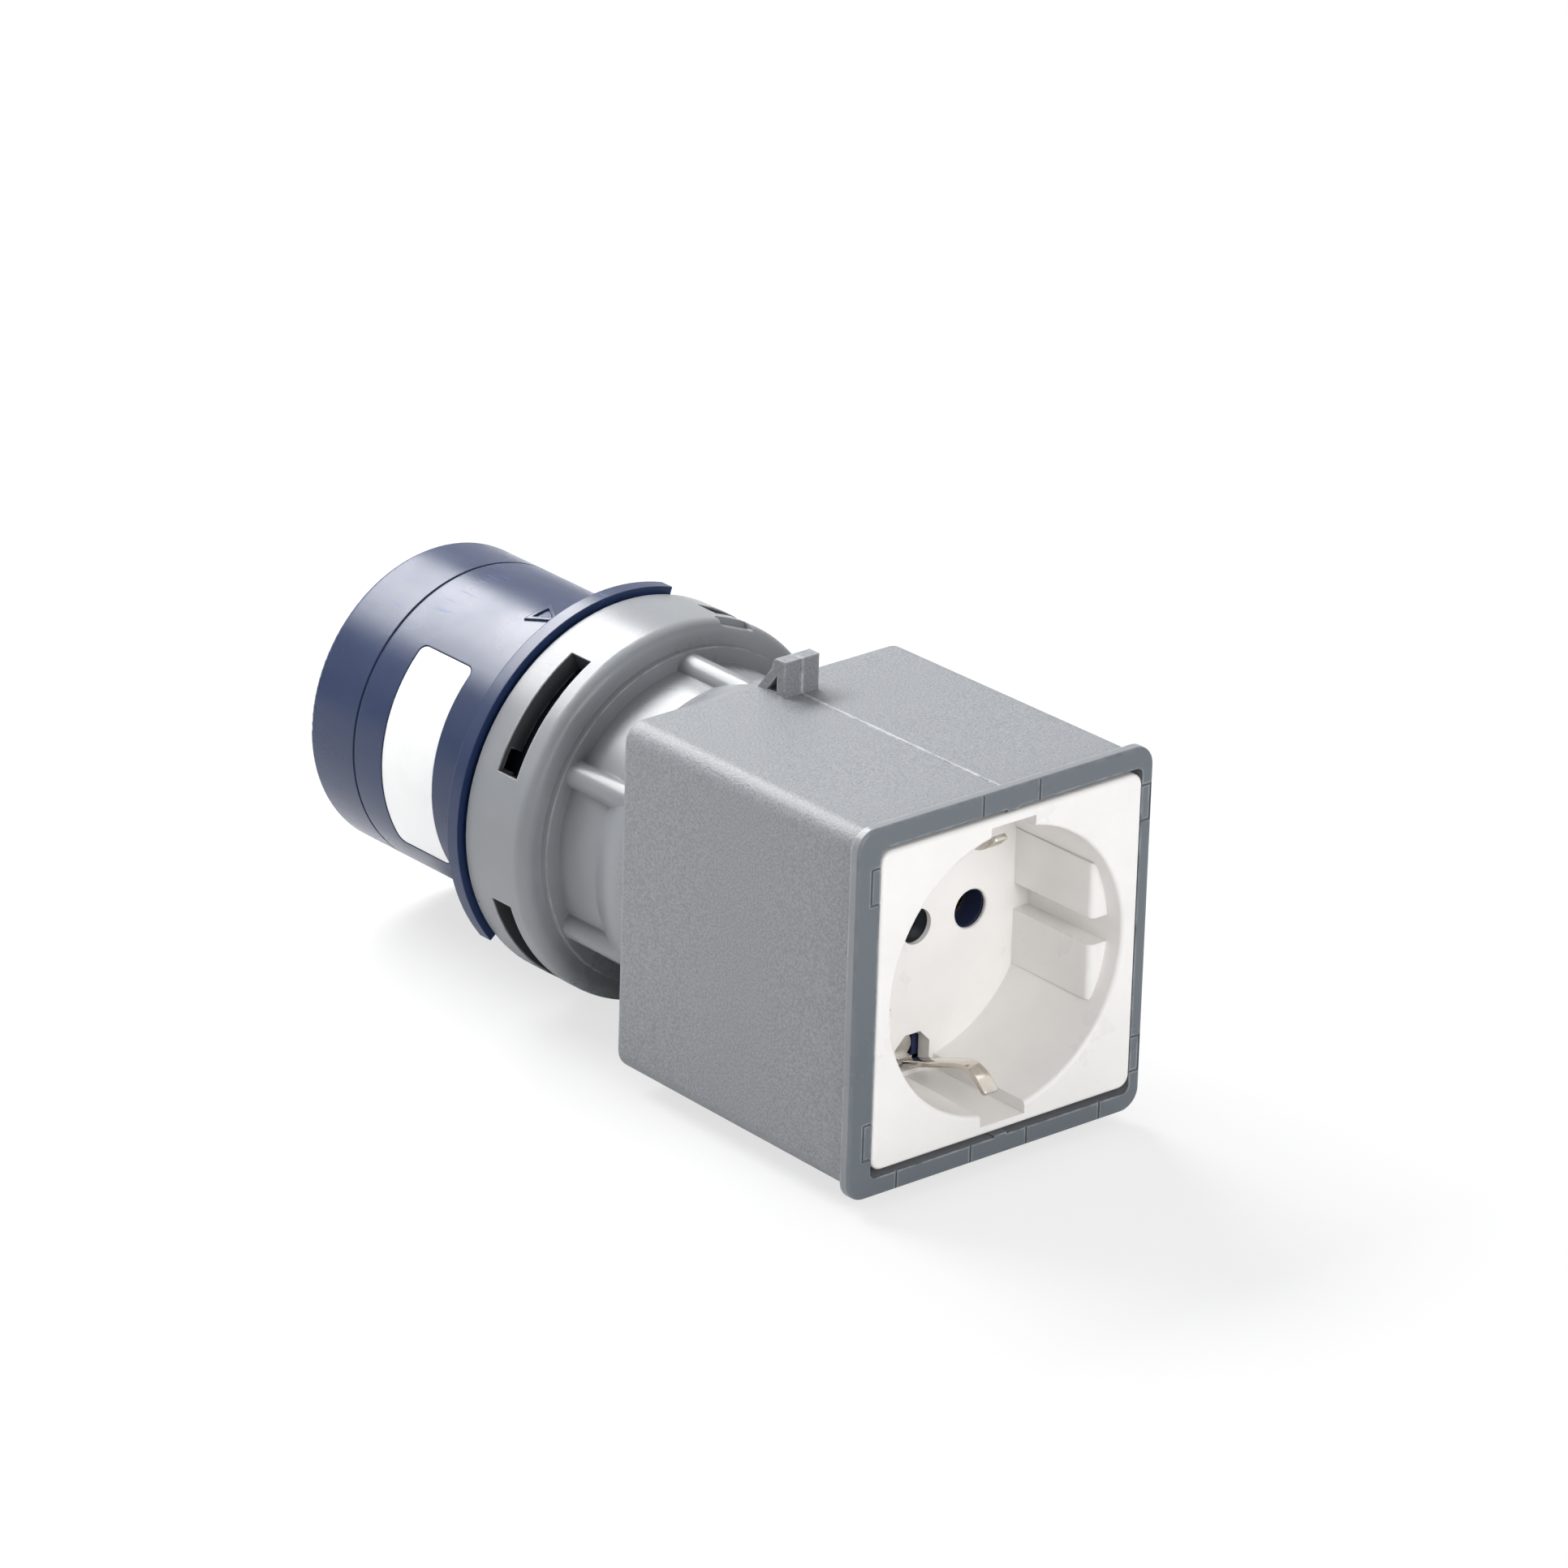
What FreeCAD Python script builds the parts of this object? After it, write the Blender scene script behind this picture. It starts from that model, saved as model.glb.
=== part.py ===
"""Plug adapter: a round three-pin industrial plug that carries an earthed household socket.

Millimetres. +X points out of the household socket, +Z is up, and the origin is the
centre of the socket rim's front plane, on the axis of the round plug.
"""
import FreeCAD, Part
import math
import os

Vector = FreeCAD.Vector
AXIS_X = Vector(1, 0, 0)
AXIS_Y = Vector(0, 1, 0)
AXIS_Z = Vector(0, 0, 1)
FULL_TURN = 360.0
RIGHT_ANGLE = 90.0
PAST = 1.0              # how far a cutting tool reaches past the face that it opens
SAME = 0.01             # places nearer together than this count as one when edges are picked

# Clearances
FIXED_GAP = 0.05        # a pin, screw or plate in its own fixed seat
LOOSE_GAP = 0.3         # between pieces that lie close without touching
TURN_GAP = 0.2          # radial gap round the plug head where it turns in the collar

# Rim and box of the housing
RIM_WIDTH = 50.8
RIM_HEIGHT = 52.2
RIM_DEPTH = 1.5
RIM_PROUD = 0.9         # how far the rim stands out from the box sides
RIM_CORNER = 3.0
RIM_EDGE = 0.45
RIM_MARK_DEPTH = 0.2
RIM_MARK_LINE = 0.3
RIM_SEAMS = (-17.0, -4.2, 5.5, 18.3)  # mould lines across the lower side of the rim
RIM_TOP_SEAMS = (-4.2, 5.5)
RIM_TAB_WIDTH = 1.6
RIM_TAB_LENGTH = 5.3
RIM_TAB_AT = 18.0
OPENING_CORNER = 1.0
BOX_LENGTH = 48.7
BOX_DRAFT = 0.4         # each side closes in by this much from rim to back
BOX_CORNER = 2.8
BOX_BACK_EDGE = 1.0
BOX_LEFT_WALL = 2.2     # at the back, where the box is narrowest
BOX_RIGHT_WALL = 1.4
BOX_TOP_WALL = 2.0
BOX_BACK_WALL = 2.5
SEAM_WIDTH = 0.5
SEAM_PROUD = 0.12
OPENING_WIDTH = 45.0
OPENING_HEIGHT = 46.6
OPENING_DROP = 0.2      # the opening's centre sits this much below the plug's axis
OPENING_DEPTH = 4.0
NIB_WIDTH = 2.1         # small nibs in the middle of the opening's upper and lower edges
NIB_HEIGHT = 0.3
NIB_LENGTH = 1.5
SOCKET_SHIFT = 1.0      # the socket's axis lies this far to +Y of the plug's axis

# Catch on top of the box, for the lid of the socket that the plug goes into
CATCH_WIDTH = 5.9
CATCH_FRONT = 42.3      # behind the rim plane
CATCH_HEIGHT = 4.7
CATCH_TOP_LENGTH = 2.2
CATCH_NECK_LENGTH = 2.7  # from the front to where the steep back turns into the ramp
CATCH_NECK_DROP = 1.6   # from the top to the same place
CATCH_FOOT_LENGTH = 5.4
CATCH_FRONT_WALL = 1.55
CATCH_RAMP_WALL = 1.7   # measured along the box
CATCH_HOLE_RAISE = 0.3  # the triangle's floor above the box
CATCH_EDGE = 0.5

# Flare, neck and collar of the housing
FLARE_RADIUS = 23.9
FLARE_LENGTH = 7.9
FLARE_BULGE = 0.45
NECK_RADIUS = 21.7
NECK_LENGTH = 7.5
NECK_BORE = 19.3
RIB_COUNT = 6
RIB_RADIUS = 1.95
RIB_FIRST_ANGLE = 30.0
RIB_REACH = 5.0         # how far a rib runs up into the flare
STEP_RADIUS = 23.9
STEP_LENGTH = 1.1
COLLAR_RADIUS = 27.05
COLLAR_LENGTH = 12.4
COLLAR_REAR_EDGE = 1.9
COLLAR_FRONT_EDGE = 0.4
COLLAR_WALL = 3.05      # at the bayonet windows
COLLAR_BORE = COLLAR_RADIUS - COLLAR_WALL
COLLAR_BORE_DEPTH = 9.9
COLLAR_FLAT_ANGLE = 68.5
COLLAR_FLAT_HEIGHT = 0.9
COLLAR_FLAT_LENGTH = 2.3
COLLAR_FLAT_WIDTH = 6.0

# Bayonet between plug head and collar
WINDOW_FROM_MOUTH = 4.5
WINDOW_LENGTH = 4.0
WINDOW_SWEEP = 40.2     # degrees
WINDOW_ANGLES = (51.0, 138.3, 218.0, 318.0)     # middle of each; their uneven steps are the key
LUG_SWEEP = 6.0         # degrees
LUG_REACH = 2.1         # outward from the spigot
LUG_RADIUS = COLLAR_BORE - TURN_GAP + LUG_REACH
LUG_END_GAP = 0.6       # degrees on each side of a lug in its channel
TWIST = 7.0             # degrees that the head turns to bring its lugs into the channels

# Plug sleeve and its flange
SLEEVE_RADIUS = 21.75
SLEEVE_WALL = 2.55
SLEEVE_LENGTH = 37.6
SLEEVE_DEPTH = 38.8     # from the mouth to the floor that the pins stand on
SLEEVE_EDGE = 0.5
SLEEVE_FLOOR = 4.5
SLEEVE_MARK_AT = 9.4    # from the sleeve's mouth
SLEEVE_MARK_WIDTH = 0.4
SLEEVE_MARK_DEPTH = 0.2
FLANGE_RADIUS = 27.9
FLANGE_LENGTH = 2.2
FLANGE_GAP = 0.4        # between flange and collar
FLANGE_SLOPE = 0.5
FLANGE_SWEEP = 146.5    # degrees of each of the two arcs
FLANGE_FIRST_ANGLE = 72.1
FLANGE_ARCS = 2
SPIGOT_WALL = 3.4
KEY_WIDTH = 6.5
KEY_HEIGHT = 2.2
KEY_EDGE = 0.8
KEY_FROM_MOUTH = 1.5
LABEL_FROM_MOUTH = 15.6
LABEL_WIDTH = 11.0
LABEL_FROM_ANGLE = 132.5
LABEL_TO_ANGLE = 214.0
LABEL_CORNER = 1.2
LABEL_RECESS_DEPTH = 0.3
LABEL_THICKNESS = 0.2
TRIANGLE_ANGLE = 99.7
TRIANGLE_BASE = 4.9
TRIANGLE_LENGTH = 4.4
TRIANGLE_LINE = 0.6
TRIANGLE_PROUD = 0.25
TRIANGLE_FROM_FLANGE = 6.8

# Pins of the plug
PIN_CIRCLE_RADIUS = 8.75
LIVE_PIN_RADIUS = 2.5
LIVE_PIN_REACH = 35.0   # in front of the sleeve's floor
EARTH_PIN_RADIUS = 3.5
EARTH_PIN_REACH = 36.5
PHASE_PIN_ANGLE = 30.0
NEUTRAL_PIN_ANGLE = 150.0
EARTH_PIN_ANGLE = 270.0
LIVE_PIN_TIP = 2.0      # rounding of the pin's tip
EARTH_PIN_TIP = 2.8
PIN_FOOT_PROUD = 0.4    # the pin is thicker by this where it passes the sleeve's floor
PIN_SHOULDER_PROUD = 1.4
PIN_SHOULDER_LENGTH = 1.5
PIN_TAIL_RADIUS = 3.4
PIN_TAIL_REACH = 7.0    # behind the carrier
PIN_WIRE_HOLE_DEPTH = 6.3
PIN_SCREW_FROM_TAIL = 3.5

# Carrier that holds the pins
CARRIER_THICKNESS = 6.0
CARRIER_SCREW_CIRCLE = 14.8
CARRIER_SCREW_ANGLES = (0.0, 180.0)

# Screws
SMALL_SHANK_RADIUS = 1.45
SMALL_HEAD_RADIUS = 2.4
SMALL_HEAD_LENGTH = 1.8
SMALL_SLOT_WIDTH = 0.6
SMALL_SLOT_DEPTH = 0.7
CARRIER_SCREW_LENGTH = 9.0
CLAMP_SHANK_RADIUS = 1.4
CLAMP_HEAD_RADIUS = 1.9
CLAMP_HEAD_LENGTH = 1.4
BASE_SHANK_RADIUS = 1.7
BASE_HEAD_RADIUS = 3.0
BASE_HEAD_LENGTH = 2.2
BASE_SCREW_LENGTH = 21.0
COVER_SCREW_LENGTH = 11.0

# Leads
LEAD_RADIUS = 1.4
FERRULE_RADIUS = 1.15
LEADS_MEET_AT = 54.2    # behind the rim plane
LEAD_STRAIGHT = 1.0

# Socket cover with its recess
PLATE_WIDTH = 44.8
PLATE_HEIGHT = 45.0
PLATE_THICKNESS = 2.8
PLATE_PROUD = 0.2
PLATE_EDGE = 0.6
PLATE_CORNER = 1.8
CUP_DEPTH = 18.1        # from the plate's face to the recess floor
CUP_RADIUS = 19.95      # at the mouth, inside the rounded entry
CUP_FLOOR_RADIUS = 19.7
CUP_WALL = 1.15
CUP_FLOOR = 2.2
CUP_ENTRY_EDGE = 0.6
GUIDE_FLAT_AT = 17.0
GUIDE_HALF_HEIGHT = 9.75
GUIDE_GROOVE_HALF = 1.88
GUIDE_START = 2.9       # below the plate's face
GUIDE_EDGE = 0.9
CHANNEL_WIDTH = 7.65
CHANNEL_RADIUS = 21.2
CHANNEL_WALL = 1.1
CHANNEL_SIDE_WALL = 1.3
PIN_HOLE_SPACING = 19.0
PIN_HOLE_RADIUS = 2.73
PIN_HOLE_EDGE = 0.2
PIN_HOLE_LIP = 0.65     # thickness of the recess floor round each pin hole
CLIP_HOLE_HALF_WIDTH = 3.0
CLIP_HOLE_FROM = 15.4
CLIP_HOLE_TO = 20.5
CLIP_HOLE_CHAMFER = 1.7
COVER_HOLE_RADIUS = 2.5
BOSS_RADIUS = 3.8
BOSS_LENGTH = 4.0
BOSS_LEDGE = 1.5

# Contact base and its rear plate
BASE_WIDTH = 40.0
BASE_CORNER = 3.0
BASE_GAP = 0.3          # between the recess floor and the base
BASE_LENGTH = 18.0
BASE_FRONT_WALL = 2.2
BUSH_RADIUS = 3.5       # round each pin hole, raised into the back of the recess floor
RETAINER_THICKNESS = 1.8
BASE_SCREW_OFFSET = 16.4
BASE_SCREW_SINK = 1.0
POST_RADIUS = 3.0
SCREW_CLEAR_HOLE = 0.15

# Live contacts of the socket
TULIP_OUTER_RADIUS = 3.3
TULIP_BORE = 2.35
TULIP_LENGTH = 9.0
TULIP_SLOT = 0.8
TULIP_SLOT_DEPTH = 7.0
CONTACT_NECK_LENGTH = 5.0
CONTACT_NECK_WIDTH = 5.0
TERMINAL_SIZE = 7.0
TERMINAL_LENGTH = 7.5
TERMINAL_HOLE_DEPTH = 6.3
TERMINAL_OFFSET = 8.0   # from the pin hole's axis to the terminal's axis
CLAMP_FROM_REAR = 3.6
POCKET_GAP = 0.35

# Earth bridge and its two spring clips
BRIDGE_THICKNESS = 0.8
BRIDGE_WIDTH = 3.6
BRIDGE_RING_RADIUS = 5.6
BRIDGE_TAB_FROM = 16.1
BRIDGE_TAB_TO = 18.4
BRIDGE_TAB_WIDTH = 3.6
BRIDGE_END_PROUD = 0.15  # beyond the top and the underside of the base
EARTH_TERMINAL_AT = 8.75
CLIP_WIDTH = 2.4
CLIP_THICKNESS = 0.85
CLIP_ROOT_AT = 18.5     # depth of the bending line behind the rim plane
CLIP_ROOT_INNER = 19.3  # inner face of the clip there, from the socket's axis
CLIP_BULGE_AT = 7.0
CLIP_BULGE_INNER = 15.25
CLIP_CREST_AT = 4.9
CLIP_CREST_INNER = 15.2
CLIP_TIP_AT = 2.0
CLIP_TIP_INNER = 18.1
CLIP_BEND_RADIUS = 3.0
CLIP_TIP_ROUNDING = 0.25

# Places worked out from the sizes above
box_back = -BOX_LENGTH
neck_start = box_back - FLARE_LENGTH
step_start = neck_start - NECK_LENGTH
collar_start = step_start - STEP_LENGTH
collar_mouth = collar_start - COLLAR_LENGTH
collar_bore_end = collar_mouth + COLLAR_BORE_DEPTH
window_front = collar_mouth + WINDOW_FROM_MOUTH
window_back = window_front + WINDOW_LENGTH
flange_back = collar_mouth - FLANGE_GAP
flange_front = flange_back - FLANGE_LENGTH
sleeve_mouth = flange_front - SLEEVE_LENGTH
sleeve_floor = sleeve_mouth + SLEEVE_DEPTH
sleeve_bore = SLEEVE_RADIUS - SLEEVE_WALL
spigot_radius = COLLAR_BORE - TURN_GAP
channel_sweep = LUG_SWEEP + 2 * LUG_END_GAP
spigot_end = collar_bore_end - LOOSE_GAP
carrier_front = sleeve_floor + SLEEVE_FLOOR
carrier_back = carrier_front + CARRIER_THICKNESS
pin_tail_end = carrier_back + PIN_TAIL_REACH
leads_meet = -LEADS_MEET_AT
cavity_back = box_back + BOX_BACK_WALL
plate_face = PLATE_PROUD
cup_floor = plate_face - CUP_DEPTH
cover_back = cup_floor - CUP_FLOOR
base_front = cover_back - BASE_GAP
bush_seat = cup_floor - PIN_HOLE_LIP
bush_front = bush_seat - LOOSE_GAP
base_back = base_front - BASE_LENGTH
retainer_back = base_back - RETAINER_THICKNESS
cover_screw_face = cover_back - BOSS_LENGTH + BOSS_LEDGE + SMALL_HEAD_LENGTH
tulip_front = base_front - BASE_FRONT_WALL - LOOSE_GAP
tulip_back = tulip_front - TULIP_LENGTH
terminal_back = base_back + LOOSE_GAP
terminal_front = terminal_back + TERMINAL_LENGTH
clamp_at = terminal_back + CLAMP_FROM_REAR
bridge_front = cover_back - FIXED_GAP * 2
bridge_back = bridge_front - 2 * BRIDGE_THICKNESS
bridge_reach = CLIP_ROOT_INNER + CLIP_THICKNESS
base_height = 2 * (bridge_reach - BRIDGE_END_PROUD)

pin_places = {
    "phase": PHASE_PIN_ANGLE,
    "neutral": NEUTRAL_PIN_ANGLE,
    "earth": EARTH_PIN_ANGLE,
}
terminal_places = {
    "phase": (SOCKET_SHIFT + PIN_HOLE_SPACING / 2, TERMINAL_OFFSET),
    "neutral": (SOCKET_SHIFT - PIN_HOLE_SPACING / 2, TERMINAL_OFFSET),
    "earth": (SOCKET_SHIFT, -EARTH_TERMINAL_AT),
}


# Helpers for plain shapes

def block(x_ends, y_ends, z_ends):
    """A box between three pairs of coordinates."""
    low = Vector(min(x_ends), min(y_ends), min(z_ends))
    size = Vector(max(x_ends), max(y_ends), max(z_ends)) - low
    return Part.makeBox(size.x, size.y, size.z, low)


def rod(radius, x_from, x_to, y=0.0, z=0.0):
    """A cylinder along X between two places."""
    return Part.makeCylinder(radius, abs(x_to - x_from), Vector(min(x_from, x_to), y, z), AXIS_X)


def ring(outer, inner, x_from, x_to):
    """A tube on the plug's axis."""
    return rod(outer, x_from, x_to).cut(rod(inner, x_from - PAST, x_to + PAST))


def arc_ring(outer, inner, x_from, x_to, start, sweep):
    """Part of a tube on the plug's axis, from a start angle over a sweep, +Y towards +Z."""
    corners = [(x_from, inner), (x_to, inner), (x_to, outer), (x_from, outer)]
    points = [Vector(x, radius, 0) for x, radius in corners]
    face = Part.Face(Part.makePolygon(points + points[:1]))
    face.rotate(Vector(), AXIS_X, start)
    return face.revolve(Vector(), AXIS_X, sweep)


def turned(edges, y=0.0, z=0.0):
    """A solid turned about an axis along X from the edges of its half section."""
    face = Part.Face(Part.Wire(edges))
    solid = face.revolve(Vector(), AXIS_X, FULL_TURN)
    solid.translate(Vector(0, y, z))
    return solid


def line(start, end):
    """A straight edge of a half section, between two (x, radius) points."""
    return Part.makeLine(Vector(*start, 0), Vector(*end, 0))


def arc(start, middle, end):
    """A round edge of a half section, through three (x, radius) points."""
    return Part.Arc(Vector(*start, 0), Vector(*middle, 0), Vector(*end, 0)).toShape()


def outline(points):
    """Straight edges through the points of a half section, closed."""
    return [line(a, b) for a, b in zip(points, points[1:] + points[:1])]


def rounded_outline(x, width, height, corner, y=0.0, z=0.0):
    """A rectangle with rounded corners, square to X, as a wire."""
    half_width = width / 2
    half_height = height / 2
    edges = []
    signs = [(1, -1), (1, 1), (-1, 1), (-1, -1)]
    ends = []
    for side, (sign_y, sign_z) in enumerate(signs):
        centre = Vector(x, y + sign_y * (half_width - corner), z + sign_z * (half_height - corner))
        first = math.radians(RIGHT_ANGLE * (side - 1))
        angles = [first, first + math.pi / 4, first + math.pi / 2]
        marks = [centre + Vector(0, math.cos(a), math.sin(a)) * corner for a in angles]
        edges.append(Part.Arc(*marks).toShape())
        ends.append((marks[0], marks[2]))
    wire_edges = []
    for side, edge in enumerate(edges):
        wire_edges.append(edge)
        wire_edges.append(Part.makeLine(ends[side][1], ends[(side + 1) % len(ends)][0]))
    return Part.Wire(wire_edges)


def rounded_block(x_from, x_to, width, height, corner, y=0.0, z=0.0):
    """A straight bar along X with a rounded rectangular section."""
    face = Part.Face(rounded_outline(min(x_from, x_to), width, height, corner, y, z))
    return face.extrude(Vector(abs(x_to - x_from), 0, 0))


def side_prism(points, y_from, y_to):
    """A prism across Y from (x, z) points."""
    corners = [Vector(x, min(y_from, y_to), z) for x, z in points]
    face = Part.Face(Part.makePolygon(corners + corners[:1]))
    return face.extrude(Vector(0, abs(y_to - y_from), 0))


def round_edges(solid, radius, wanted):
    """Rounds the edges for which wanted(edge) is true."""
    edges = [edge for edge in solid.Edges if wanted(edge)]
    return solid.makeFillet(radius, edges)


def lies_at_x(edge, x):
    """Whether an edge lies wholly in the plane at x."""
    box = edge.BoundBox
    return abs(box.XMin - x) < SAME and abs(box.XMax - x) < SAME


def polar(radius, angle):
    """The (y, z) place at a radius and an angle about the plug's axis."""
    return radius * math.cos(math.radians(angle)), radius * math.sin(math.radians(angle))


def joined(first, others):
    """One solid out of a first shape and others that meet it."""
    return first.fuse(others).removeSplitter()


def mirrored_over_socket(shape):
    """The shape's mirror image above and below the socket's axis."""
    return shape.mirror(Vector(), AXIS_Z)


def slotted_screw(head_radius, head_length, shank_radius, length):
    """A screw along X with its head's face at 0 and its shank towards -X."""
    head = rod(head_radius, 0, -head_length)
    shank = rod(shank_radius, -head_length, -length)
    slot_half = SMALL_SLOT_WIDTH / 2
    reach = head_radius + PAST
    slot = block((-SMALL_SLOT_DEPTH, PAST), (-reach, reach), (-slot_half, slot_half))
    return joined(head, [shank]).cut(slot)


def screw_pointing(screw, direction, place):
    """A screw turned so that its shank points along a direction, with its head's face at a place."""
    moved = screw.copy()
    moved.Placement = FreeCAD.Placement(place, FreeCAD.Rotation(Vector(-1, 0, 0), direction))
    return moved


# Housing

def box_half_width(x):
    """Half the width of the box at a depth, with its draft."""
    return RIM_WIDTH / 2 - RIM_PROUD - BOX_DRAFT * x / box_back


def box_half_height(x):
    """Half the height of the box at a depth, with its draft."""
    return RIM_HEIGHT / 2 - RIM_PROUD - BOX_DRAFT * x / box_back


def rim_and_box():
    """The rim and the drafted box behind it, solid."""
    rim = rounded_block(-RIM_DEPTH, 0, RIM_WIDTH, RIM_HEIGHT, RIM_CORNER)
    rim = round_edges(rim, RIM_EDGE, lambda edge: lies_at_x(edge, 0))
    wires = []
    for x in (-RIM_DEPTH / 2, box_back):
        wires.append(rounded_outline(x, 2 * box_half_width(x), 2 * box_half_height(x), BOX_CORNER))
    box = Part.makeLoft(wires, True, True)
    box = round_edges(box, BOX_BACK_EDGE, lambda edge: lies_at_x(edge, box_back))
    return joined(rim, [box])


def round_outside():
    """Flare, neck, step and collar as one turned solid that starts inside the box."""
    start = cavity_back
    flare_foot = (box_back, FLARE_RADIUS)
    flare_top = (neck_start, NECK_RADIUS)
    flare_middle = (box_back - FLARE_LENGTH / 2, (FLARE_RADIUS + NECK_RADIUS) / 2 + FLARE_BULGE)
    collar_foot = (collar_start, COLLAR_RADIUS - COLLAR_REAR_EDGE)
    collar_top = (collar_start - COLLAR_REAR_EDGE, COLLAR_RADIUS)
    inset = COLLAR_REAR_EDGE * (1 - math.cos(math.pi / 4))
    collar_shoulder = (collar_start - inset, COLLAR_RADIUS - inset)
    front_corner = (collar_mouth + COLLAR_FRONT_EDGE, COLLAR_RADIUS)
    front_edge = (collar_mouth, COLLAR_RADIUS - COLLAR_FRONT_EDGE)
    edges = [
        line((start, 0), (start, FLARE_RADIUS)),
        line((start, FLARE_RADIUS), flare_foot),
        arc(flare_foot, flare_middle, flare_top),
        line(flare_top, (step_start, NECK_RADIUS)),
        line((step_start, NECK_RADIUS), (step_start, STEP_RADIUS)),
        line((step_start, STEP_RADIUS), (collar_start, STEP_RADIUS)),
        line((collar_start, STEP_RADIUS), collar_foot),
        arc(collar_foot, collar_shoulder, collar_top),
        line(collar_top, front_corner),
        line(front_corner, front_edge),
        line(front_edge, (collar_mouth, 0)),
        line((collar_mouth, 0), (start, 0)),
    ]
    return turned(edges)


def neck_ribs():
    """Half-round ribs along the neck, rounded off where they run out on the flare."""
    start = step_start - STEP_LENGTH / 2
    rib_top = neck_start + RIB_REACH
    slant = RIB_RADIUS * math.sin(math.pi / 4)
    edges = [
        line((start, 0), (start, RIB_RADIUS)),
        line((start, RIB_RADIUS), (rib_top, RIB_RADIUS)),
        arc((rib_top, RIB_RADIUS), (rib_top + slant, slant), (rib_top + RIB_RADIUS, 0)),
        line((rib_top + RIB_RADIUS, 0), (start, 0)),
    ]
    ribs = []
    for index in range(RIB_COUNT):
        y, z = polar(NECK_RADIUS, RIB_FIRST_ANGLE + index * FULL_TURN / RIB_COUNT)
        ribs.append(turned(edges, y, z))
    return ribs


def lid_catch():
    """The hooked catch on top of the box, with its open triangle."""
    front = -CATCH_FRONT
    top = box_half_height(0) + CATCH_HEIGHT
    surface = box_half_height(box_back)
    root = surface - BOX_TOP_WALL / 2
    top_back = front - CATCH_TOP_LENGTH
    neck_x = front - CATCH_NECK_LENGTH
    neck_z = top - CATCH_NECK_DROP
    foot_back = front - CATCH_FOOT_LENGTH
    y_ends = (SOCKET_SHIFT - CATCH_WIDTH / 2, SOCKET_SHIFT + CATCH_WIDTH / 2)
    outline = [
        (front, root),
        (front, top),
        (top_back, top),
        (neck_x, neck_z),
        (foot_back, surface),
        (foot_back, root),
    ]
    body = side_prism(outline, *y_ends)
    body = round_edges(body, CATCH_EDGE, lambda edge: abs(edge.BoundBox.ZMin - top) < SAME
                       and abs(edge.BoundBox.XMin - top_back) < SAME
                       and edge.BoundBox.XLength < SAME)
    slope = (neck_z - surface) / (neck_x - foot_back)
    hole_front = front - CATCH_FRONT_WALL
    hole_back = foot_back + CATCH_RAMP_WALL
    floor = surface + CATCH_HOLE_RAISE
    hole = [
        (hole_front, floor),
        (hole_front, surface + slope * (hole_front - hole_back)),
        (hole_back + CATCH_HOLE_RAISE / slope, floor),
    ]
    return body.cut(side_prism(hole, y_ends[0] - PAST, y_ends[1] + PAST))


def top_seam():
    """The thin raised line along the top of the box, from the rim and up the catch's front."""
    half = SEAM_WIDTH / 2
    near = -RIM_DEPTH / 2
    far = -CATCH_FRONT
    top = box_half_height(0) + CATCH_HEIGHT
    points = [
        (near, box_half_height(near) + SEAM_PROUD),
        (far + SEAM_PROUD, box_half_height(far) + SEAM_PROUD),
        (far + SEAM_PROUD, top),
        (far - SEAM_WIDTH, top),
        (far - SEAM_WIDTH, box_half_height(far) - SEAM_WIDTH),
        (near, box_half_height(near) - SEAM_WIDTH),
    ]
    return side_prism(points, SOCKET_SHIFT - half, SOCKET_SHIFT + half)


def opening_nibs():
    """A small nib in the middle of the opening's upper and of its lower edge."""
    half = NIB_WIDTH / 2
    nibs = []
    for side in (-1, 1):
        edge = -OPENING_DROP + side * OPENING_HEIGHT / 2
        z_ends = (edge - side * NIB_HEIGHT, edge + side * NIB_HEIGHT)
        nibs.append(block((-NIB_LENGTH, 0), (SOCKET_SHIFT - half, SOCKET_SHIFT + half), z_ends))
    return nibs


def bayonet_cuts():
    """The four windows, the channel that leads a lug into each, and the pocket where it locks."""
    cuts = []
    top = LUG_RADIUS + TURN_GAP
    floor = COLLAR_BORE - PAST
    for angle in WINDOW_ANGLES:
        start = angle - WINDOW_SWEEP / 2
        channel_start = start + WINDOW_SWEEP - channel_sweep
        cuts.append(arc_ring(COLLAR_RADIUS + PAST, floor, window_front, window_back, start, WINDOW_SWEEP))
        cuts.append(arc_ring(top, floor, collar_mouth - PAST, window_front + PAST, channel_start,
                             channel_sweep))
        cuts.append(arc_ring(top, floor, window_front, window_back, channel_start, channel_sweep + TWIST))
    return cuts


def collar_flat():
    """The small flat cut across the collar's rear edge."""
    x_ends = (collar_start + PAST, collar_start - COLLAR_FLAT_LENGTH)
    radial = (COLLAR_RADIUS - COLLAR_FLAT_HEIGHT, COLLAR_RADIUS + PAST)
    flat = block(x_ends, radial, (-COLLAR_FLAT_WIDTH / 2, COLLAR_FLAT_WIDTH / 2))
    flat.rotate(Vector(), AXIS_X, COLLAR_FLAT_ANGLE)
    return flat


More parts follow.
